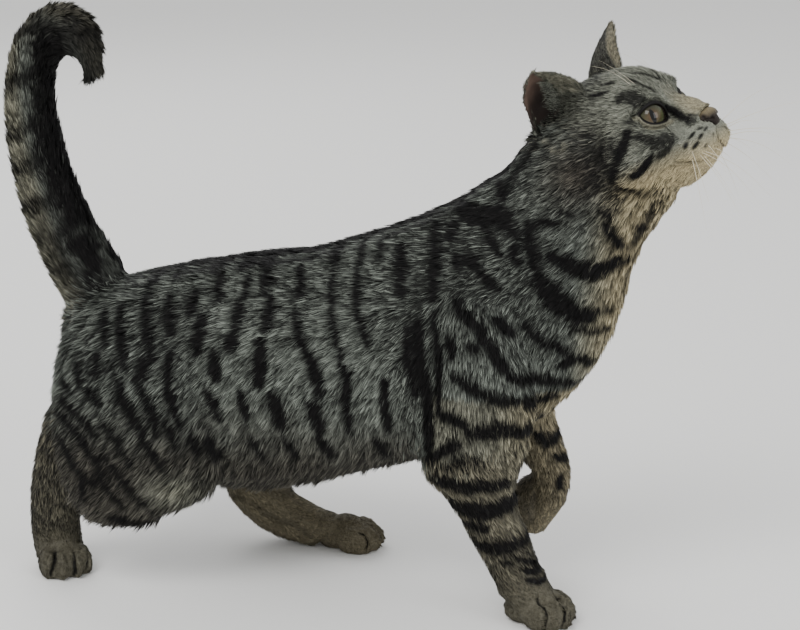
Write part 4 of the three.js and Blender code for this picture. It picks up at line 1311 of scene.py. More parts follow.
def grow(name, coat, sizes, width):
    """Grows one piece of coat: a curved, tapering blade from every root, gathered in tufts."""
    names, _, clump, pull_share, root_lift, tip_lift = COAT_PIECES[name]
    fields, rng, count = WORK["fields"], coat.rng, coat.count
    root = coat.sample(fields["points"])
    normal = unit(coat.sample(fields["normals"]))
    flow = unit(coat.sample(fields["flow"]))
    length = coat.sample(fields["length"]) * sizes.coat_length
    nodes = coat.nearest(fields["nodes"])
    tuft = clump_centres(root, clump, rng)
    tuft_level = rng.random(count)[tuft]
    length = length * (0.72 + 0.5 * rng.random(count)) * (0.88 + 0.24 * tuft_level)

    # the line of each blade, bent towards the middle of its tuft
    side = unit(np.cross(normal, flow))
    sway = rng.normal(0, 0.16, count) + 0.22 * (rng.random(count)[tuft] - 0.5)
    flow = unit(flow + side * sway[:, None])
    lift = root_lift * (0.8 + 0.4 * rng.random(count)) + 8 * (tuft_level - 0.5)
    spine = [root - normal * HAIR_ROOT]
    for low, high in zip(BLADE_LEVELS[:-1], BLADE_LEVELS[1:]):
        angle = np.radians(mix(lift, tip_lift, ((low + high) / 2) ** 0.6))
        way = flow * np.cos(angle)[:, None] + normal * np.sin(angle)[:, None]
        spine.append(spine[-1] + way * (length * (high - low))[:, None])
    spine = np.stack(spine, axis=1)
    pull = pull_share * (0.6 + 0.8 * rng.random(count))
    share = np.minimum(pull[:, None] * np.array(BLADE_LEVELS) ** 1.3, 0.9)[:, :, None]
    far = np.linalg.norm(root - root[tuft], axis=1) > 2.2 * clump
    spine = mix(spine, spine[tuft], np.where(far[:, None, None], 0, share))
    spine[:, :, 2] = np.maximum(spine[:, :, 2], FLOOR_GAP)

    roll = np.radians(rng.normal(0, 24, count))
    along = unit(spine[:, -1] - spine[:, 0])
    blade = unit(np.cross(normal, along))
    blade = blade * np.cos(roll)[:, None] + np.cross(along, blade) * np.sin(roll)[:, None]
    widths = width * (0.75 + 0.5 * rng.random(count))
    furry = is_node(nodes, "head", *EARS)
    widths = widths * np.clip(length / HAIR_FULL, np.where(furry, 0.8, 0.55), 1.1)
    corners = []
    for k, level in enumerate(BLADE_WIDTHS):
        half = blade * (widths * level / 2)[:, None]
        corners += [spine[:, k] - half, spine[:, k] + half]
    corners = np.stack([*corners, spine[:, -1]], axis=1)
    facing = np.cross(along, blade)
    facing *= np.sign(np.sum(facing * normal, axis=1) + 1e-9)[:, None]
    facing = unit(mix(facing, normal, 0.62))

    looks = blade_looks(name, coat, spine, nodes, tuft_level, clump)
    blade_mesh(name, corners, facing, looks, chart_places(root, nodes, names))


def blade_looks(name, coat, spine, nodes, tuft_level, clump):
    """A piece's fields: each blade takes its marks from the places where its middle and its tip are seen."""
    fields, rng, count = WORK["fields"], coat.rng, coat.count
    root = coat.sample(fields["points"])
    jitter = rng.normal(0, 0.7, count)
    sprig = clump_centres(root, 0.42 * clump, rng)
    dice = np.clip(0.75 * rng.random(count) + 0.25 * rng.random(count)[sprig], 0, 1)
    stray = HEAD_STRAY if name == "coat_head" else BODY_STRAY
    blended = nearest_nodes(root + rng.normal(0, stray, (count, 3)))
    seen_low = markings(spine[:, 1], blended, jitter, dice)
    seen_high = markings(mix(spine[:, 2], spine[:, 1], 0.25), blended, jitter, dice)
    both = zip(seen_low, seen_high)
    dark, warm, earth = [np.stack([low] * 4 + [high], axis=1).ravel() for low, high in both]
    groove, edge, lips = [np.repeat(coat.sample(fields[key]), 5) for key in ("toes", "edge", "lips")]
    # painted shade between the toes: blades in the grooves turn near black
    dark = np.maximum(dark * (1 - 0.85 * edge), 0.95 * smoothstep(0.25, 0.8, groove))
    # hair along the lip and philtrum folds darkens: painted shade in the folds, over the lips' own dark edge
    dark = np.maximum(dark, 0.75 * smoothstep(0.15, 0.5, lips))
    warm = np.maximum(warm, 0.3 * edge)

    sprig_level = rng.random(count)[sprig]
    tone = 0.48 + 0.17 * rng.normal(0, 1, count) + 0.4 * (tuft_level - 0.5) + 0.45 * (sprig_level - 0.5)
    tone = np.clip(tone, 0, 1)
    tone = tone + face_light(root) * is_node(nodes, "head") * (1 - 0.8 * seen_low[0])
    tone = tone + 0.2 * coat.sample(fields["edge"]) + 0.14 * seen_low[1]
    tone = tone + 0.1 * is_node(nodes, "shank_left", "forearm_left", "paw_fore_left")
    tone = mix(tone, 0.34 + 0.4 * (tone - 0.40), coat.sample(fields["foot"]))
    return {"mark": dark, "warm": warm, "earth": earth, "tone": np.clip(tone, 0, 1),
            "along": np.tile(BLADE_ALONG, count)}


# per piece: nodes, blade width as a share of the hair width, tuft size, how strongly the blades of a tuft
# gather, and the lift in degrees at a blade's root and tip
COAT_PIECES = {
    "coat_head": (("head", *EARS), 0.6, 2.0, 0.3, 30, 8),
    "coat_neck": (("neck",), 1.0, 3.6, 0.5, 36, 12),
    "coat_chest": (("chest",), 1.0, 3.6, 0.5, 36, 12),
    "coat_belly": (("belly",), 1.0, 3.8, 0.5, 36, 12),
    "coat_rump": (("rump", "thigh_left"), 1.0, 3.8, 0.5, 36, 12),
    "coat_thigh": (("thigh_right", "shank_right", "paw_hind_right", "shank_left", "paw_hind_left"),
                   0.9, 3.4, 0.45, 34, 12),
    "coat_forelegs": (("upper_arm_right", "forearm_right", "paw_fore_right", "upper_arm_left", "forearm_left",
                       "paw_fore_left"), 0.85, 3.2, 0.42, 32, 10),
    "coat_tail": (TAIL, 1.0, 3.6, 0.45, 38, 14),
}
BARE_GAP = 1.2          # no hair grows this close round the eye's opening
NOSE_RISE = 0.9         # how far the skin lifts round the nose leather


def coat_fields():
    """Everything the coat reads at the skin's points, worked out once."""
    skin = WORK["skin"]
    nodes = nearest_nodes(skin.points)
    length = smoothed_field(hair_lengths(skin.points, nodes), skin.edges, 60)
    thick = smoothed_field(node_density(skin.points, nodes), skin.edges, 40)
    normals = smoothed(skin.normals, skin.edges, 4)
    hollow, edge, deep = np.zeros(len(nodes)), np.zeros(len(nodes)), np.zeros(len(nodes))
    for side in EAR_OPENS:
        chosen = is_node(nodes, "ear_" + side)
        ear = ear_parts(skin.points, skin.normals, chosen, side)
        tall, wide, into = ear["tall"], ear["wide"], ear["into"]
        band = smoothstep(0.5, 0.8, wide) * smoothstep(0.1, 0.4, into)
        hollow[chosen] = smoothstep(0.1, 0.4, into) * (1 - band)
        length[chosen] = length[chosen] + 2.5 * band * (1 - 0.6 * np.clip(tall, 0, 1))
        # how deep in the hollow each place lies; the skin darkens with it as painted shade
        deep[chosen] = 1 - smoothstep(0.1, 0.75, tall + 0.35 * (np.abs(wide) - 0.4))
        rim = smoothstep(0.8, 0.98, np.abs(wide)) * smoothstep(0.05, 0.25, tall)
        edge[chosen] = rim * smoothstep(-0.6, -0.1, into)
    foot = is_node(nodes, "paw_fore_right", "paw_hind_right", "paw_hind_left") * 1.0
    foot = np.maximum(foot, 0.5 * is_node(nodes, *SHANKS))
    foot = smoothed_field(foot, skin.edges, 80)
    thick = thick * (1 - hollow)
    length = length + 1.0 * edge
    return {
        "hollow": hollow, "deep": deep, "foot": foot, "edge": edge, "points": skin.points, "normals": normals,
        "flow": laid_flow(skin, nodes), "length": length,
        "nodes": nodes, "thick": thick, "bare": bare_places(skin, nodes), "toes": WORK["toes"],
        "lips": WORK["lips"],
    }


def node_density(points, nodes):
    """How closely the hair stands: closest on the ears, paws and face."""
    face = mix(1.0, 2.6, smoothstep(-40, 0, to_head(points)[:, 0]))
    return set_by_node(np.ones(len(points)), nodes, (("head",), face), (EARS, 3.6), (PAWS, 3.4))


def bare_places(skin, nodes):
    """Where no hair grows: eye openings, nose leather, the lips' line, and the soles."""
    bare = np.zeros(len(skin.points))
    for gap, _ in round_eyes(skin.points, 16):
        bare = np.maximum(bare, gap < BARE_GAP)
    tree = WORK["nose_finder"]
    near = np.array([tree.find_nearest(point)[3] for point in skin.points.tolist()])
    bare = np.maximum(bare, near < 0.4)
    bare = np.maximum(bare, WORK["lips"] > 0.5)
    paws = is_node(nodes, "paw_fore_right", "paw_hind_right", "paw_hind_left")
    bare = np.maximum(bare, paws & (skin.points[:, 2] < 1.6) & (skin.normals[:, 2] < -0.6))
    return bare


class CAT_OT_marks(bpy.types.Operator):
    """Works out the lie, the length and the markings of the coat on the skin"""
    bl_idname = "cat.marks"
    bl_label = "Markings and lie of the coat"

    def execute(self, context):
        skin = WORK["skin"]
        nodes = nearest_nodes(skin.points)
        self.raise_round_nose(skin)
        WORK["skin_finder"] = BVHTree.FromPolygons(
            skin.points.tolist(), triangles_of(skin.item.data).tolist())
        WORK["fields"] = coat_fields()
        dark, warm, earth = markings(skin.points, nodes)
        mesh = skin.item.data
        hollow = WORK["fields"]["hollow"]
        # painted shade between the toes: the skin in the grooves turns near black
        dark = np.maximum(dark * (1 - hollow), 0.95 * smoothstep(0.3, 0.8, WORK["toes"]))
        set_attribute(mesh, "mark", dark)
        set_attribute(mesh, "warm", warm)
        set_attribute(mesh, "earth", earth)
        set_attribute(mesh, "bare", hollow)
        set_attribute(mesh, "deep", WORK["fields"]["deep"])
        set_attribute(mesh, "rim", WORK["rim"])
        set_attribute(mesh, "pale", np.clip(face_light(skin.points) * is_node(nodes, "head"), 0, 1))
        mesh.materials.append(skin_material(context.scene.cat_colours))
        WORK["coat_material"] = coat_material(context.scene.cat_colours)
        ride_root(skin.item, "silver_fur", *FLESH)
        return {"FINISHED"}

    def raise_round_nose(self, skin):
        """Lifts the skin all round the nose leather, so that it closes on it."""
        mesh = NODES["nose"].data
        faces = [list(face.vertices) for face in mesh.polygons]
        tree = BVHTree.FromPolygons(points_of(mesh).tolist(), faces)
        found = [tree.find_nearest(point) for point in skin.points.tolist()]
        outward = skin.points - np.array([hit[0] for hit in found])
        outside = np.sum(outward * np.array([hit[1] for hit in found]), axis=1) > 0
        near = np.where(outside, np.linalg.norm(outward, axis=1), NOWHERE)
        skin.write(skin.points + skin.normals * (NOSE_RISE * smoothstep(3.2, 0.8, near))[:, None])
        WORK["nose_finder"] = tree


class CoatOperator:
    """Grows the pieces of coat that a part of the body carries."""

    def execute(self, context):
        sizes = context.scene.cat_sizes
        fields = WORK["fields"]
        triangles = triangles_of(WORK["skin"].item.data)
        nodes = fields["nodes"][triangles[:, 0]]
        free = 1 - fields["bare"][triangles].max(axis=1)
        thick = fields["thick"][triangles].mean(axis=1)
        for name in self.pieces:
            names, share = COAT_PIECES[name][:2]
            chosen = is_node(nodes, *names) * free * thick
            faces, width = sizes.coat_faces, share * sizes.hair_width / MM
            coat = Coat(WORK["skin"], triangles, chosen, faces // len(BLADE_FACES), seed=len(name) * 31 + 7)
            grow(name, coat, sizes, width)
        return {"FINISHED"}


class CAT_OT_head_coat(CoatOperator, bpy.types.Operator):
    """Short close hair of the head and ears"""
    bl_idname = "cat.head_coat"
    bl_label = "Coat of the head"
    pieces = ("coat_head",)


class CAT_OT_ear_tufts(bpy.types.Operator):
    """Long pale hairs that sweep from the front edge of each ear over its hollow"""
    bl_idname = "cat.ear_tufts"
    bl_label = "Tufts of the ears"

    def execute(self, context):
        rng = np.random.default_rng(17)
        blades, facing = [], []
        for side in EAR_OPENS:
            for part in (self.sweep, self.fringe, self.fold):
                places, normals = self.hairs(*part(side, rng), rng)
                blades.append(places)
                facing.append(normals)
        blades, facing = np.concatenate(blades), np.concatenate(facing)
        count = len(blades)
        turned = np.cross(blades[:, 3] - blades[:, 0], blades[:, 1] - blades[:, 0])
        away = np.sum(turned * facing, axis=1) < 0
        blades[away] = blades[away][:, [1, 0, 3, 2, 4]]
        fields = {
            "mark": np.where(rng.random(count) < 0.25, 0.7, 0.0), "warm": np.full(count, 0.12),
            "earth": np.zeros(count), "tone": np.clip(rng.normal(0.6, 0.24, count), 0, 1),
            "along": np.tile([0.15, 0.15, 0.6, 0.6, 1.0], count),
        }
        ahead, outwards, high = to_head(blades[:, 0]).T
        column = np.where(outwards > 0, 0.5, 0.0) + 0.02 + 0.46 * (ahead + 75) / 45
        places = np.stack([column, 0.02 + 0.96 * (high + 15) / 60], axis=1)
        blade_mesh("coat_ear_tufts", blades, facing, fields, places)
        return {"FINISHED"}

    def hairs(self, roots, ways, normals, lengths, widths, rng):
        """Blades of two steps, bowed away from the skin, and the way each faces."""
        across = unit(np.cross(ways, normals) + rng.normal(0, 0.25, ways.shape)) * (widths / 2)[:, None]
        half = (lengths / 2)[:, None]
        middle = roots + unit(ways + 0.3 * normals) * half
        end = middle + unit(ways - 0.1 * normals + rng.normal(0, 0.08, ways.shape)) * half
        corners = [roots - across, roots + across, middle - across, middle + across, end]
        return np.stack(corners, axis=1), normals

    def ear(self, side):
        skin = WORK["skin"]
        chosen = np.flatnonzero(is_node(WORK["fields"]["nodes"], "ear_" + side))
        return chosen, ear_parts(skin.points, skin.normals, chosen, side)

    def sweep(self, side, rng):
        """Long hairs rooted inside the front edge, that sweep back and up over the hollow."""
        chosen, ear = self.ear(side)
        wide, tall = ear["wide"], ear["tall"]
        fit = np.flatnonzero((ear["into"] > 0.1) & (wide > 0.4) & (wide < 0.9) & (tall > -0.2) & (tall < 0.6))
        pick = rng.choice(fit, TUFT_HAIRS, p=(0.2 + wide[fit]) / np.sum(0.2 + wide[fit]))
        way = -0.5 * ear["across"] + 0.7 * ear["up"] + 0.4 * ear["opening"]
        ways = unit(way + rng.normal(0, 0.24, (TUFT_HAIRS, 3))) @ HEAD_AXES.T
        lengths = rng.uniform(4, 10, TUFT_HAIRS) * (1 - 0.5 * np.clip(tall[pick], 0, 1))
        normals = np.tile(unit(ear["opening"] + (0, 0, 0.4)) @ HEAD_AXES.T, (TUFT_HAIRS, 1))
        return WORK["skin"].points[chosen[pick]], ways, normals, lengths, rng.uniform(0.2, 0.36, TUFT_HAIRS)

    def fringe(self, side, rng):
        """Short hairs that stand out along the ear's edge."""
        skin = WORK["skin"]
        chosen, ear = self.ear(side)
        wide, tall = np.abs(ear["wide"]), ear["tall"]
        fit = np.flatnonzero((wide > 0.85) & (tall > 0.08) & (tall < 0.95) & (ear["into"] > -0.3))
        pick = rng.choice(fit, FRINGE_HAIRS)
        out = skin.normals[chosen[pick]] @ HEAD_AXES + 0.7 * ear["opening"]
        way = 0.7 * unit(out) + ear["up"] + rng.normal(0, 0.14, (FRINGE_HAIRS, 3))
        normals = unit(ear["opening"] + 0.5 * unit(out)) @ HEAD_AXES.T
        roots = skin.points[chosen[pick]] - 0.3 * skin.normals[chosen[pick]]
        lengths = rng.uniform(1.4, 3.0, FRINGE_HAIRS)
        return roots, unit(way) @ HEAD_AXES.T, normals, lengths, rng.uniform(0.22, 0.36, FRINGE_HAIRS)

    def fold(self, side, rng):
        """Pale edge of the little pocket at the outer foot of the ear."""
        sign = SIGN[side]
        line = np.array(EAR_FOLD, float) * (1, -sign, 1)
        if side == "left":
            line = line + LEFT_FOLD_SHIFT
        share = rng.random(FOLD_HAIRS) * (len(line) - 1.001)
        first = share.astype(int)
        places = mix(line[first], line[first + 1], (share - first)[:, None])
        places = places + rng.normal(0, 0.4, (FOLD_HAIRS, 3))
        found = [WORK["skin_finder"].find_nearest(place) for place in from_head(places).tolist()]
        roots, normals = np.array([hit[0] for hit in found]), np.array([hit[1] for hit in found])
        ways = np.array([-0.5, 0.9 * sign, -0.1]) + rng.normal(0, 0.25, (FOLD_HAIRS, 3))
        lengths = rng.uniform(2.0, 3.4, FOLD_HAIRS)
        return roots, unit(ways) @ HEAD_AXES.T, normals, lengths, rng.uniform(0.24, 0.36, FOLD_HAIRS)


# edge of the pocket at the right ear's foot, in the head's frame, and the hairs of each part of an ear
EAR_FOLD = [(-68, -41, 18), (-67, -42, 12), (-63, -46, 8), (-60, -47, 3), (-56, -46, 2), (-53, -45, 4),
            (-55, -44, 7)]
LEFT_FOLD_SHIFT = (8, 0, 5)
TUFT_HAIRS = 620
FRINGE_HAIRS = 2600
FOLD_HAIRS = 260


class CAT_OT_trunk_coat(CoatOperator, bpy.types.Operator):
    """Coat of the neck, chest, flanks and rump"""
    bl_idname = "cat.trunk_coat"
    bl_label = "Coat of the trunk"
    pieces = ("coat_neck", "coat_chest", "coat_belly", "coat_rump")


class CAT_OT_leg_coat(CoatOperator, bpy.types.Operator):
    """Coat of the legs and paws"""
    bl_idname = "cat.leg_coat"
    bl_label = "Coat of the legs"
    pieces = ("coat_thigh", "coat_forelegs")


class CAT_OT_tail_coat(CoatOperator, bpy.types.Operator):
    """Coat of the tail"""
    bl_idname = "cat.tail_coat"
    bl_label = "Coat of the tail"
    pieces = ("coat_tail",)


# ---------------------------------------------------------------- eyes

GAZE = {"right": (46, 0), "left": (22, 0)}      # degrees outwards and up that each eye looks in the head
GAZE_MAP = 24.0         # across the iris's own map
SLIT = (3.3, 9.4)       # width and height that the pupil's rim is measured by
CORNEA_BULGE = 0.9
RIM_OVER = 0.65         # how far the middle of the lid's dark rim lies over the eyeball


def eye_material(colours):
    """Wet eye: a clear glossy cornea over a fibrous iris with a slit pupil, dark at its rim, with a painted
    shadow of the upper lid over its top.
    """
    material, tree = blank_material("wet cat eye")
    place = node(tree, "ShaderNodeUVMap", {"uv_map": "gaze"}).outputs[0]
    centred = node(tree, "ShaderNodeMapping", None, Vector=place, Location=(-0.5, -0.5, 0)).outputs[0]
    spread = node(tree, "ShaderNodeMapping", None, Vector=centred,
                  Scale=(GAZE_MAP, GAZE_MAP, 1)).outputs[0]
    reach = node(tree, "ShaderNodeVectorMath", {"operation": "LENGTH"}, i0=spread).outputs["Value"]
    slit_place = node(tree, "ShaderNodeMapping", None, Vector=spread,
                      Scale=(1 / SLIT[0], 1 / SLIT[1], 1)).outputs[0]
    slit = node(tree, "ShaderNodeVectorMath", {"operation": "LENGTH"}, i0=slit_place).outputs["Value"]
    turned = node(tree, "ShaderNodeTexGradient", {"gradient_type": "RADIAL"}, Vector=spread).outputs["Fac"]
    wound = node(tree, "ShaderNodeCombineXYZ", None, X=turned).outputs[0]
    fibre_place = node(tree, "ShaderNodeMapping", None, Vector=wound, Scale=(60, 1, 1)).outputs[0]
    fibre = node(tree, "ShaderNodeTexNoise", None, Vector=fibre_place, Scale=1.0, Detail=3.0).outputs[0]
    share = node(tree, "ShaderNodeMapRange", None, i0=reach, i1=1.5, i2=7.0).outputs[0]
    iris = mixed(tree, share, four(colours.iris_core), four(colours.iris_rim))
    iris = multiplied(tree, iris, fibre, (0.3, 0.6), (0.7, 1.15))
    away = node(tree, "ShaderNodeMapRange", None, i0=reach, i1=0.0, i2=12.0).outputs[0]
    outside = ramp(tree, away, (0.60, 0.0), (0.68, 1.0))
    iris = mixed(tree, outside, iris, four(linear("#1c1614")))
    # painted shadow of the upper lid: the iris darkens towards its top
    high = node(tree, "ShaderNodeSeparateXYZ", None, Vector=spread).outputs["Y"]
    painted_lid_shadow = node(tree, "ShaderNodeMapRange", None, i0=high, i1=1.0, i2=6.0, i3=0.0, i4=0.75).outputs[0]
    iris = mixed(tree, painted_lid_shadow, iris, four(linear("#14120f")))
    pupil = ramp(tree, slit, (0.45, 1.0), (0.52, 0.0))
    colour = mixed(tree, pupil, iris, four(linear("#050505")))
    end_with_shader(tree, colour, 0.7, 0.0, IOR=1.376, Coat_Weight=0.7, Coat_Roughness=0.03)
    return material


def rim_material():
    """Edge of the eyelids: black, hairless and a little moist."""
    material, tree = blank_material("black eyelid rim")
    grain = grain_over(tree, 1500.0, 2.0)
    colour = ramp(tree, grain, (0.3, linear("#070606")), (0.7, linear("#120e0d")))
    end_with_shader(tree, colour, 0.55, 0.12, Normal=bump_from(tree, grain, 0.3, 0.0002))
    return material


def tube(name, lines, roundness):
    """A mesh of tapering tubes; each line is a list of places with a radius for each, closed or not."""
    curve = bpy.data.curves.new(name, "CURVE")
    curve.dimensions = "3D"
    curve.bevel_depth = 1.0
    curve.bevel_resolution = roundness
    curve.use_fill_caps = True
    for places, radii, closed in lines:
        spline = curve.splines.new("POLY")
        spline.points.add(len(places) - 1)
        for point, place, radius in zip(spline.points, places, radii):
            point.co = (*(np.asarray(place) * MM), 1)
            point.radius = radius * MM
        spline.use_cyclic_u = closed
    item = bpy.data.objects.new(name, curve)
    bpy.context.scene.collection.objects.link(item)
    select_only(item)
    bpy.ops.object.convert(target="MESH")
    item = bpy.context.view_layer.objects.active
    item.name = name
    bpy.ops.object.shade_smooth()
    return item


LID_CORNERS = 36        # places along each lid's edge


def lid_contour():
    """Places round the eye's opening, seen along the eye's axis: outwards and up."""
    tilt = math.radians(LID_TILT)
    share = np.sin(np.linspace(-math.pi / 2, math.pi / 2, LID_CORNERS))
    upper, lower = lid_heights(share)
    a = np.concatenate([share, share[::-1][1:-1]]) * LID_HALF
    b = np.concatenate([upper, lower[::-1][1:-1]])
    across = LID_MIDDLE[0] + a * math.cos(tilt) - b * math.sin(tilt)
    high = LID_MIDDLE[1] + a * math.sin(tilt) + b * math.cos(tilt)
    return across, high


class CAT_OT_eyes(bpy.types.Operator):
    """Eyeballs with a bulging cornea, a slit pupil and a dark rim of lid round each"""
    bl_idname = "cat.eyes"
    bl_label = "Eyes and lid rims"

    def execute(self, context):
        wet = eye_material(context.scene.cat_colours)
        black = rim_material()
        for side, centre in EYE_AT.items():
            axes = turned_axes(side, *GAZE[side]) @ HEAD_AXES.T
            deselect()
            bpy.ops.mesh.primitive_uv_sphere_add(segments=64, ring_count=48, radius=EYE_RADIUS * MM)
            ball = context.view_layer.objects.active
            ball.name = "eyeball_" + side
            own = points_of(ball.data)
            own = own[:, [2, 0, 1]]
            reach = np.hypot(own[:, 1], own[:, 2])
            front = own[:, 0] > 0
            own[:, 0] += np.where(front, CORNEA_BULGE * (1 - smoothstep(3, 8.5, reach)), 0)
            places = own[:, 1:] / GAZE_MAP + 0.5
            places[~front] = 0.02
            move_points(ball.data, own @ axes + centre)
            corners = rows_of(ball.data.loops, "vertex_index", 1, np.int32).ravel()
            while ball.data.uv_layers:
                ball.data.uv_layers.remove(ball.data.uv_layers[0])
            layer = ball.data.uv_layers.new(name="gaze")
            layer.data.foreach_set("uv", places[corners].astype(np.float32).ravel())
            select_only(ball)
            bpy.ops.object.mode_set(mode="EDIT")
            bpy.ops.mesh.select_all(action="SELECT")
            bpy.ops.mesh.normals_make_consistent(inside=False)
            bpy.ops.object.mode_set(mode="OBJECT")
            bpy.ops.object.shade_smooth()
            ball.data.materials.append(wet)
            ride_root(ball, "eye", "eye_" + side)

            across, high = lid_contour()
            ahead = np.sqrt(np.maximum((EYE_RADIUS + RIM_OVER) ** 2 - across ** 2 - high ** 2, 4.0))
            line = from_eye(np.stack([ahead, across, high], axis=1), side)
            radius = context.scene.cat_sizes.lid_rim / MM
            turn_share = np.linspace(0, 2 * math.pi, len(line), endpoint=False)
            radii = radius * (1.0 + 0.12 * np.cos(2 * turn_share))
            rim = tube("lid_rim_" + side, [(line, radii, True)], roundness=3)
            rim.data.materials.append(black)
            ride_root(rim, "eye")
        return {"FINISHED"}


# ---------------------------------------------------------------- nose and whiskers

NOSE_PORE = 0.55        # across one pebble of the nose leather
NOSE_STEP = 0.42        # side of the leather's faces
NOSE_SIZE, NOSE_SINK = 0.98, 0.3        # size as a share of the solid's, and how far it moves inwards
NOSTRIL_DEPTH, NOSTRIL_HALF = 2.2, 1.15
GROOVE_DEPTH, GROOVE_HALF = 0.7, 0.6


def leather_material(colour):
    """Bare pebbled skin of the nose, downy and cream where it meets the bridge."""
    material, tree = blank_material("nose leather")
    place = node(tree, "ShaderNodeTexCoord").outputs["Object"]
    cells = node(tree, "ShaderNodeTexVoronoi", {"feature": "SMOOTH_F1"}, Vector=place,
                 Scale=1000 / NOSE_PORE).outputs["Distance"]
    pale = tuple(min(1, c * 1.7) for c in colour)
    spots = ramp(tree, grain_over(tree, 260.0, 4.0), (0.3, 0.0), (0.75, 1.0))
    base = mixed(tree, spots, four(colour), four(pale))
    base = mixed(tree, attribute(tree, "upper"), base, four(linear("#7d725a")))
    base = multiplied(tree, base, cells, (0.1, 1.0), (0.8, 0.62))
    end_with_shader(tree, base, 0.5, 0.2, Normal=bump_from(tree, cells, 0.5, 0.0003, invert=True))
    return material


class CAT_OT_nose(bpy.types.Operator):
    """Nose leather with two comma-shaped nostrils and a groove down the middle"""
    bl_idname = "cat.nose"
    bl_label = "Nose leather"

    def execute(self, context):
        nose = copy_of("nose", "nose_leather")
        apply_modifier(nose, "REMESH", mode="VOXEL", voxel_size=NOSE_STEP * MM)
        points = points_of(nose.data)
        points = polished(points, edges_of(nose.data), 10, np.full(len(points), 0.8))
        middle = points.mean(axis=0)
        points = middle + (points - middle) * NOSE_SIZE - HEAD_AXES[:, 0] * NOSE_SINK
        move_points(nose.data, points)
        normals = normals_of(nose.data)
        own = to_head(points)
        side = np.stack([own[:, 0], np.abs(own[:, 1]), own[:, 2]], axis=1)
        front = side[:, 0].max()
        low, high = side[:, 2].min(), side[:, 2].max()
        tall = high - low
        hole = [(front - 2.6, 3.4, low + 0.42 * tall), (front - 4.0, 5.6, low + 0.40 * tall),
                (front - 6.0, 6.6, low + 0.62 * tall)]
        distance = along_line(side, hole)[0]
        dent = NOSTRIL_DEPTH * np.exp(-(distance / NOSTRIL_HALF) ** 2)
        below = smoothstep(low + 0.7 * tall, low + 0.3 * tall, side[:, 2])
        groove = GROOVE_DEPTH * np.exp(-(side[:, 1] / GROOVE_HALF) ** 2) * below
        move_points(nose.data, points - normals * (dent + groove)[:, None])
        upper = smoothstep(low + 0.45 * tall, low + 0.95 * tall, side[:, 2]) * smoothstep(1.2, 3.2, distance)
        set_attribute(nose.data, "upper", upper)
        nose.data.shade_smooth()
        nose.data.materials.append(leather_material(context.scene.cat_colours.leather))
        ride_root(nose, "nose_leather", "nose")
        return {"FINISHED"}


def whisker_material(colours):
    """Keratin whisker: pale, smooth and a little uneven in tint."""
    material, tree = blank_material("whisker keratin")
    tint = ramp(tree, grain_over(tree, 60.0, 1.0), (0.35, 0.0), (0.7, 0.35))
    colour = mixed(tree, tint, four(colours.whisker), four(linear("#b0a68e")))
    end_with_shader(tree, colour, 0.35, 0.5)
    return material


# roots of the whiskers in the head's frame, and how far each reaches from there to its tip in the cat's frame
WHISKERS = {
    "right": [((19, -17, -33), (43, -24, -22)), ((17, -18, -33), (35, -26, -21)),
              ((15, -18, -34), (27, -24, -30)), ((16, -15, -34), (22, -22, -22)),
              ((9, -18, -35), (12, -20, -38)), ((22, -9, -34), (12, -10, -5)),
              ((21, -15, -30), (14, -26, -12)), ((12, -20, -30), (14, -30, -24))],
    "left": [((23, 12, -21), (31, 20, 21)), ((22, 14, -25), (46, 24, 13)), ((22, 13, -29), (46, 26, -5)),
             ((21, 12, -30), (35, 24, -7)), ((20, 14, -27), (16, 20, 1)), ((19, 17, -33), (38, 26, -20)),
             ((15, 18, -34), (30, 24, -28)), ((9, 18, -35), (14, 22, -36)), ((12, 20, -30), (22, 32, -16))],
}
BROW_HAIRS = [((-8, 15, 19), (-22, 5, 15)), ((-10, 16, 19), (-27, 6, 12))]
BROW_SHARE = 0.6        # a brow hair's thickness as a share of a whisker's


class CAT_OT_whiskers(bpy.types.Operator):
    """Whiskers in rows on both whisker pads, and longer hairs over the eyes"""
    bl_idname = "cat.whiskers"
    bl_label = "Whiskers"

    def execute(self, context):
        rng = np.random.default_rng(5)
        radius = context.scene.cat_sizes.whisker_root / MM / 2
        pale = whisker_material(context.scene.cat_colours)
        tree = WORK["skin_finder"]
        for side, sign in SIGN.items():
            hairs = [(root, reach, radius) for root, reach in WHISKERS[side]]
            hairs += [(np.multiply(root, (1, sign, 1)), np.multiply(reach, (1, sign, 1)), radius * BROW_SHARE)
                      for root, reach in BROW_HAIRS]
            lines = []
            for root, reach, thick in hairs:
                start = np.array(tree.find_nearest(from_head(root))[0])
                lines.append(self.hair(start, start + reach, thick, rng))
            item = tube("whiskers_" + side, lines, roundness=1)
            item.data.materials.append(pale)
            ride_root(item, "whisker", *[name for name in NODES if name.startswith("whisker_" + side)])
        return {"FINISHED"}

    def hair(self, start, end, radius, rng):
        """One whisker: straight at the root, bowed slightly upwards, thinning to its tip."""
        share = np.linspace(0, 1, 12)
        bow = np.array([0, 0, 1.0]) * np.linalg.norm(end - start) * rng.uniform(0.02, 0.1)
        line = start + (end - start) * share[:, None] + bow * np.sin(math.pi * share)[:, None]
        return line, radius * (1 - 0.8 * share), False


# ---------------------------------------------------------------- stage

def floor_material(colours):
    """Matt painted studio board with a faint roller grain."""
    material, tree = blank_material("pale studio board")
    bump = bump_from(tree, grain_over(tree, 400.0, 2.0), 0.05, 0.0005)
    end_with_shader(tree, four(colours.floor), 0.85, 0.5, Normal=bump)
    return material


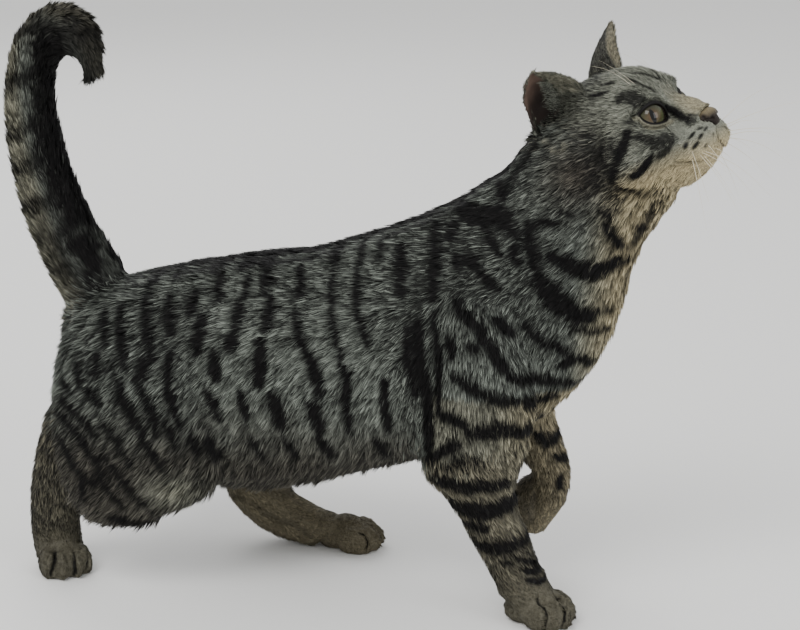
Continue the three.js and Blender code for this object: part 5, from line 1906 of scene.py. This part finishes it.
# name, power in watts, place, size, colour
LAMPS = (
    ("key_lamp", 34, (-0.5, -1.6, 2.1), 1.3, (1, 0.99, 0.97)),
    ("front_lamp", 14, (1.8, -0.9, 1.0), 1.2, (0.98, 0.99, 1)),
    ("rear_lamp", 16, (-1.2, 1.6, 1.7), 1.4, (1, 1, 1)),
)
LAMPS_AT = Vector((0, 0, 0.2))          # where the lamps point
FLOOR_SIDE = 30
AIR_STRENGTH = 0.9
VIEW_AT = np.array([3.9, 1.5, 187.0])   # what the camera looks at, in millimetres
VIEW_FROM = np.array([0.2337, -0.9372, 0.2588])
VIEW_AWAY = 1350.0                      # in millimetres
LENS, SENSOR = 93.5, 36


def aimed(item, place, target):
    """Puts a lamp or the camera in the scene at a place and turns it to a target."""
    item.location = place
    item.rotation_euler = (target - place).to_track_quat("-Z", "Y").to_euler()
    bpy.context.scene.collection.objects.link(item)
    return item


class CAT_OT_stage(bpy.types.Operator):
    """Pale floor, soft lamps and the camera"""
    bl_idname = "cat.stage"
    bl_label = "Stage"

    def execute(self, context):
        deselect()
        bpy.ops.mesh.primitive_plane_add(size=FLOOR_SIDE, location=(0, 0, 0))
        floor = context.view_layer.objects.active
        floor.name = "studio_floor"
        floor.data.materials.append(floor_material(context.scene.cat_colours))

        for name, power, place, size, colour in LAMPS:
            lamp = bpy.data.lights.new(name, "AREA")
            lamp.energy = power
            lamp.size = size
            lamp.color = colour
            aimed(bpy.data.objects.new(name, lamp), Vector(place), LAMPS_AT)
        world = bpy.data.worlds.new("studio_air")
        world.use_nodes = True
        sky = world.node_tree.nodes["Background"]
        sky.inputs["Color"].default_value = (1, 1, 1, 1)
        sky.inputs["Strength"].default_value = AIR_STRENGTH
        context.scene.world = world

        lens = bpy.data.cameras.new("view_camera")
        lens.lens = LENS
        lens.sensor_width = SENSOR
        lens.sensor_fit = "HORIZONTAL"
        lens.clip_start = 0.01
        camera = bpy.data.objects.new("view_camera", lens)
        place = VIEW_AT + VIEW_AWAY * unit(VIEW_FROM)
        context.scene.camera = aimed(camera, Vector(place * MM), Vector(VIEW_AT * MM))
        return {"FINISHED"}


# ---------------------------------------------------------------- panel and run

STEPS = (CAT_OT_skin, CAT_OT_marks, CAT_OT_head_coat, CAT_OT_ear_tufts, CAT_OT_trunk_coat,
         CAT_OT_leg_coat, CAT_OT_tail_coat, CAT_OT_eyes, CAT_OT_nose, CAT_OT_whiskers, CAT_OT_stage)


class CAT_PT_panel(bpy.types.Panel):
    """Sizes, colours and the steps in order"""
    bl_idname = "CAT_PT_panel"
    bl_label = "Silver tabby cat"
    bl_space_type = "VIEW_3D"
    bl_region_type = "UI"
    bl_category = "Cat"

    def draw(self, context):
        for group in (context.scene.cat_sizes, context.scene.cat_colours):
            for key in group.bl_rna.properties.keys():
                if key not in ("rna_type", "name"):
                    self.layout.prop(group, key)
        for step in STEPS:
            self.layout.operator(step.bl_idname)


CLASSES = (CatSizes, CatColours, *STEPS, CAT_PT_panel)


def register():
    for item in CLASSES:
        bpy.utils.register_class(item)
    bpy.types.Scene.cat_sizes = bpy.props.PointerProperty(type=CatSizes)
    bpy.types.Scene.cat_colours = bpy.props.PointerProperty(type=CatColours)


def unregister():
    del bpy.types.Scene.cat_colours
    del bpy.types.Scene.cat_sizes
    for item in reversed(CLASSES):
        bpy.utils.unregister_class(item)


def main():
    register()
    bpy.ops.cat.skin()
    bpy.ops.cat.marks()
    bpy.ops.cat.head_coat()
    bpy.ops.cat.ear_tufts()
    bpy.ops.cat.trunk_coat()
    bpy.ops.cat.leg_coat()
    bpy.ops.cat.tail_coat()
    bpy.ops.cat.eyes()
    bpy.ops.cat.nose()
    bpy.ops.cat.whiskers()
    bpy.ops.cat.stage()


if __name__ == "__main__":
    main()
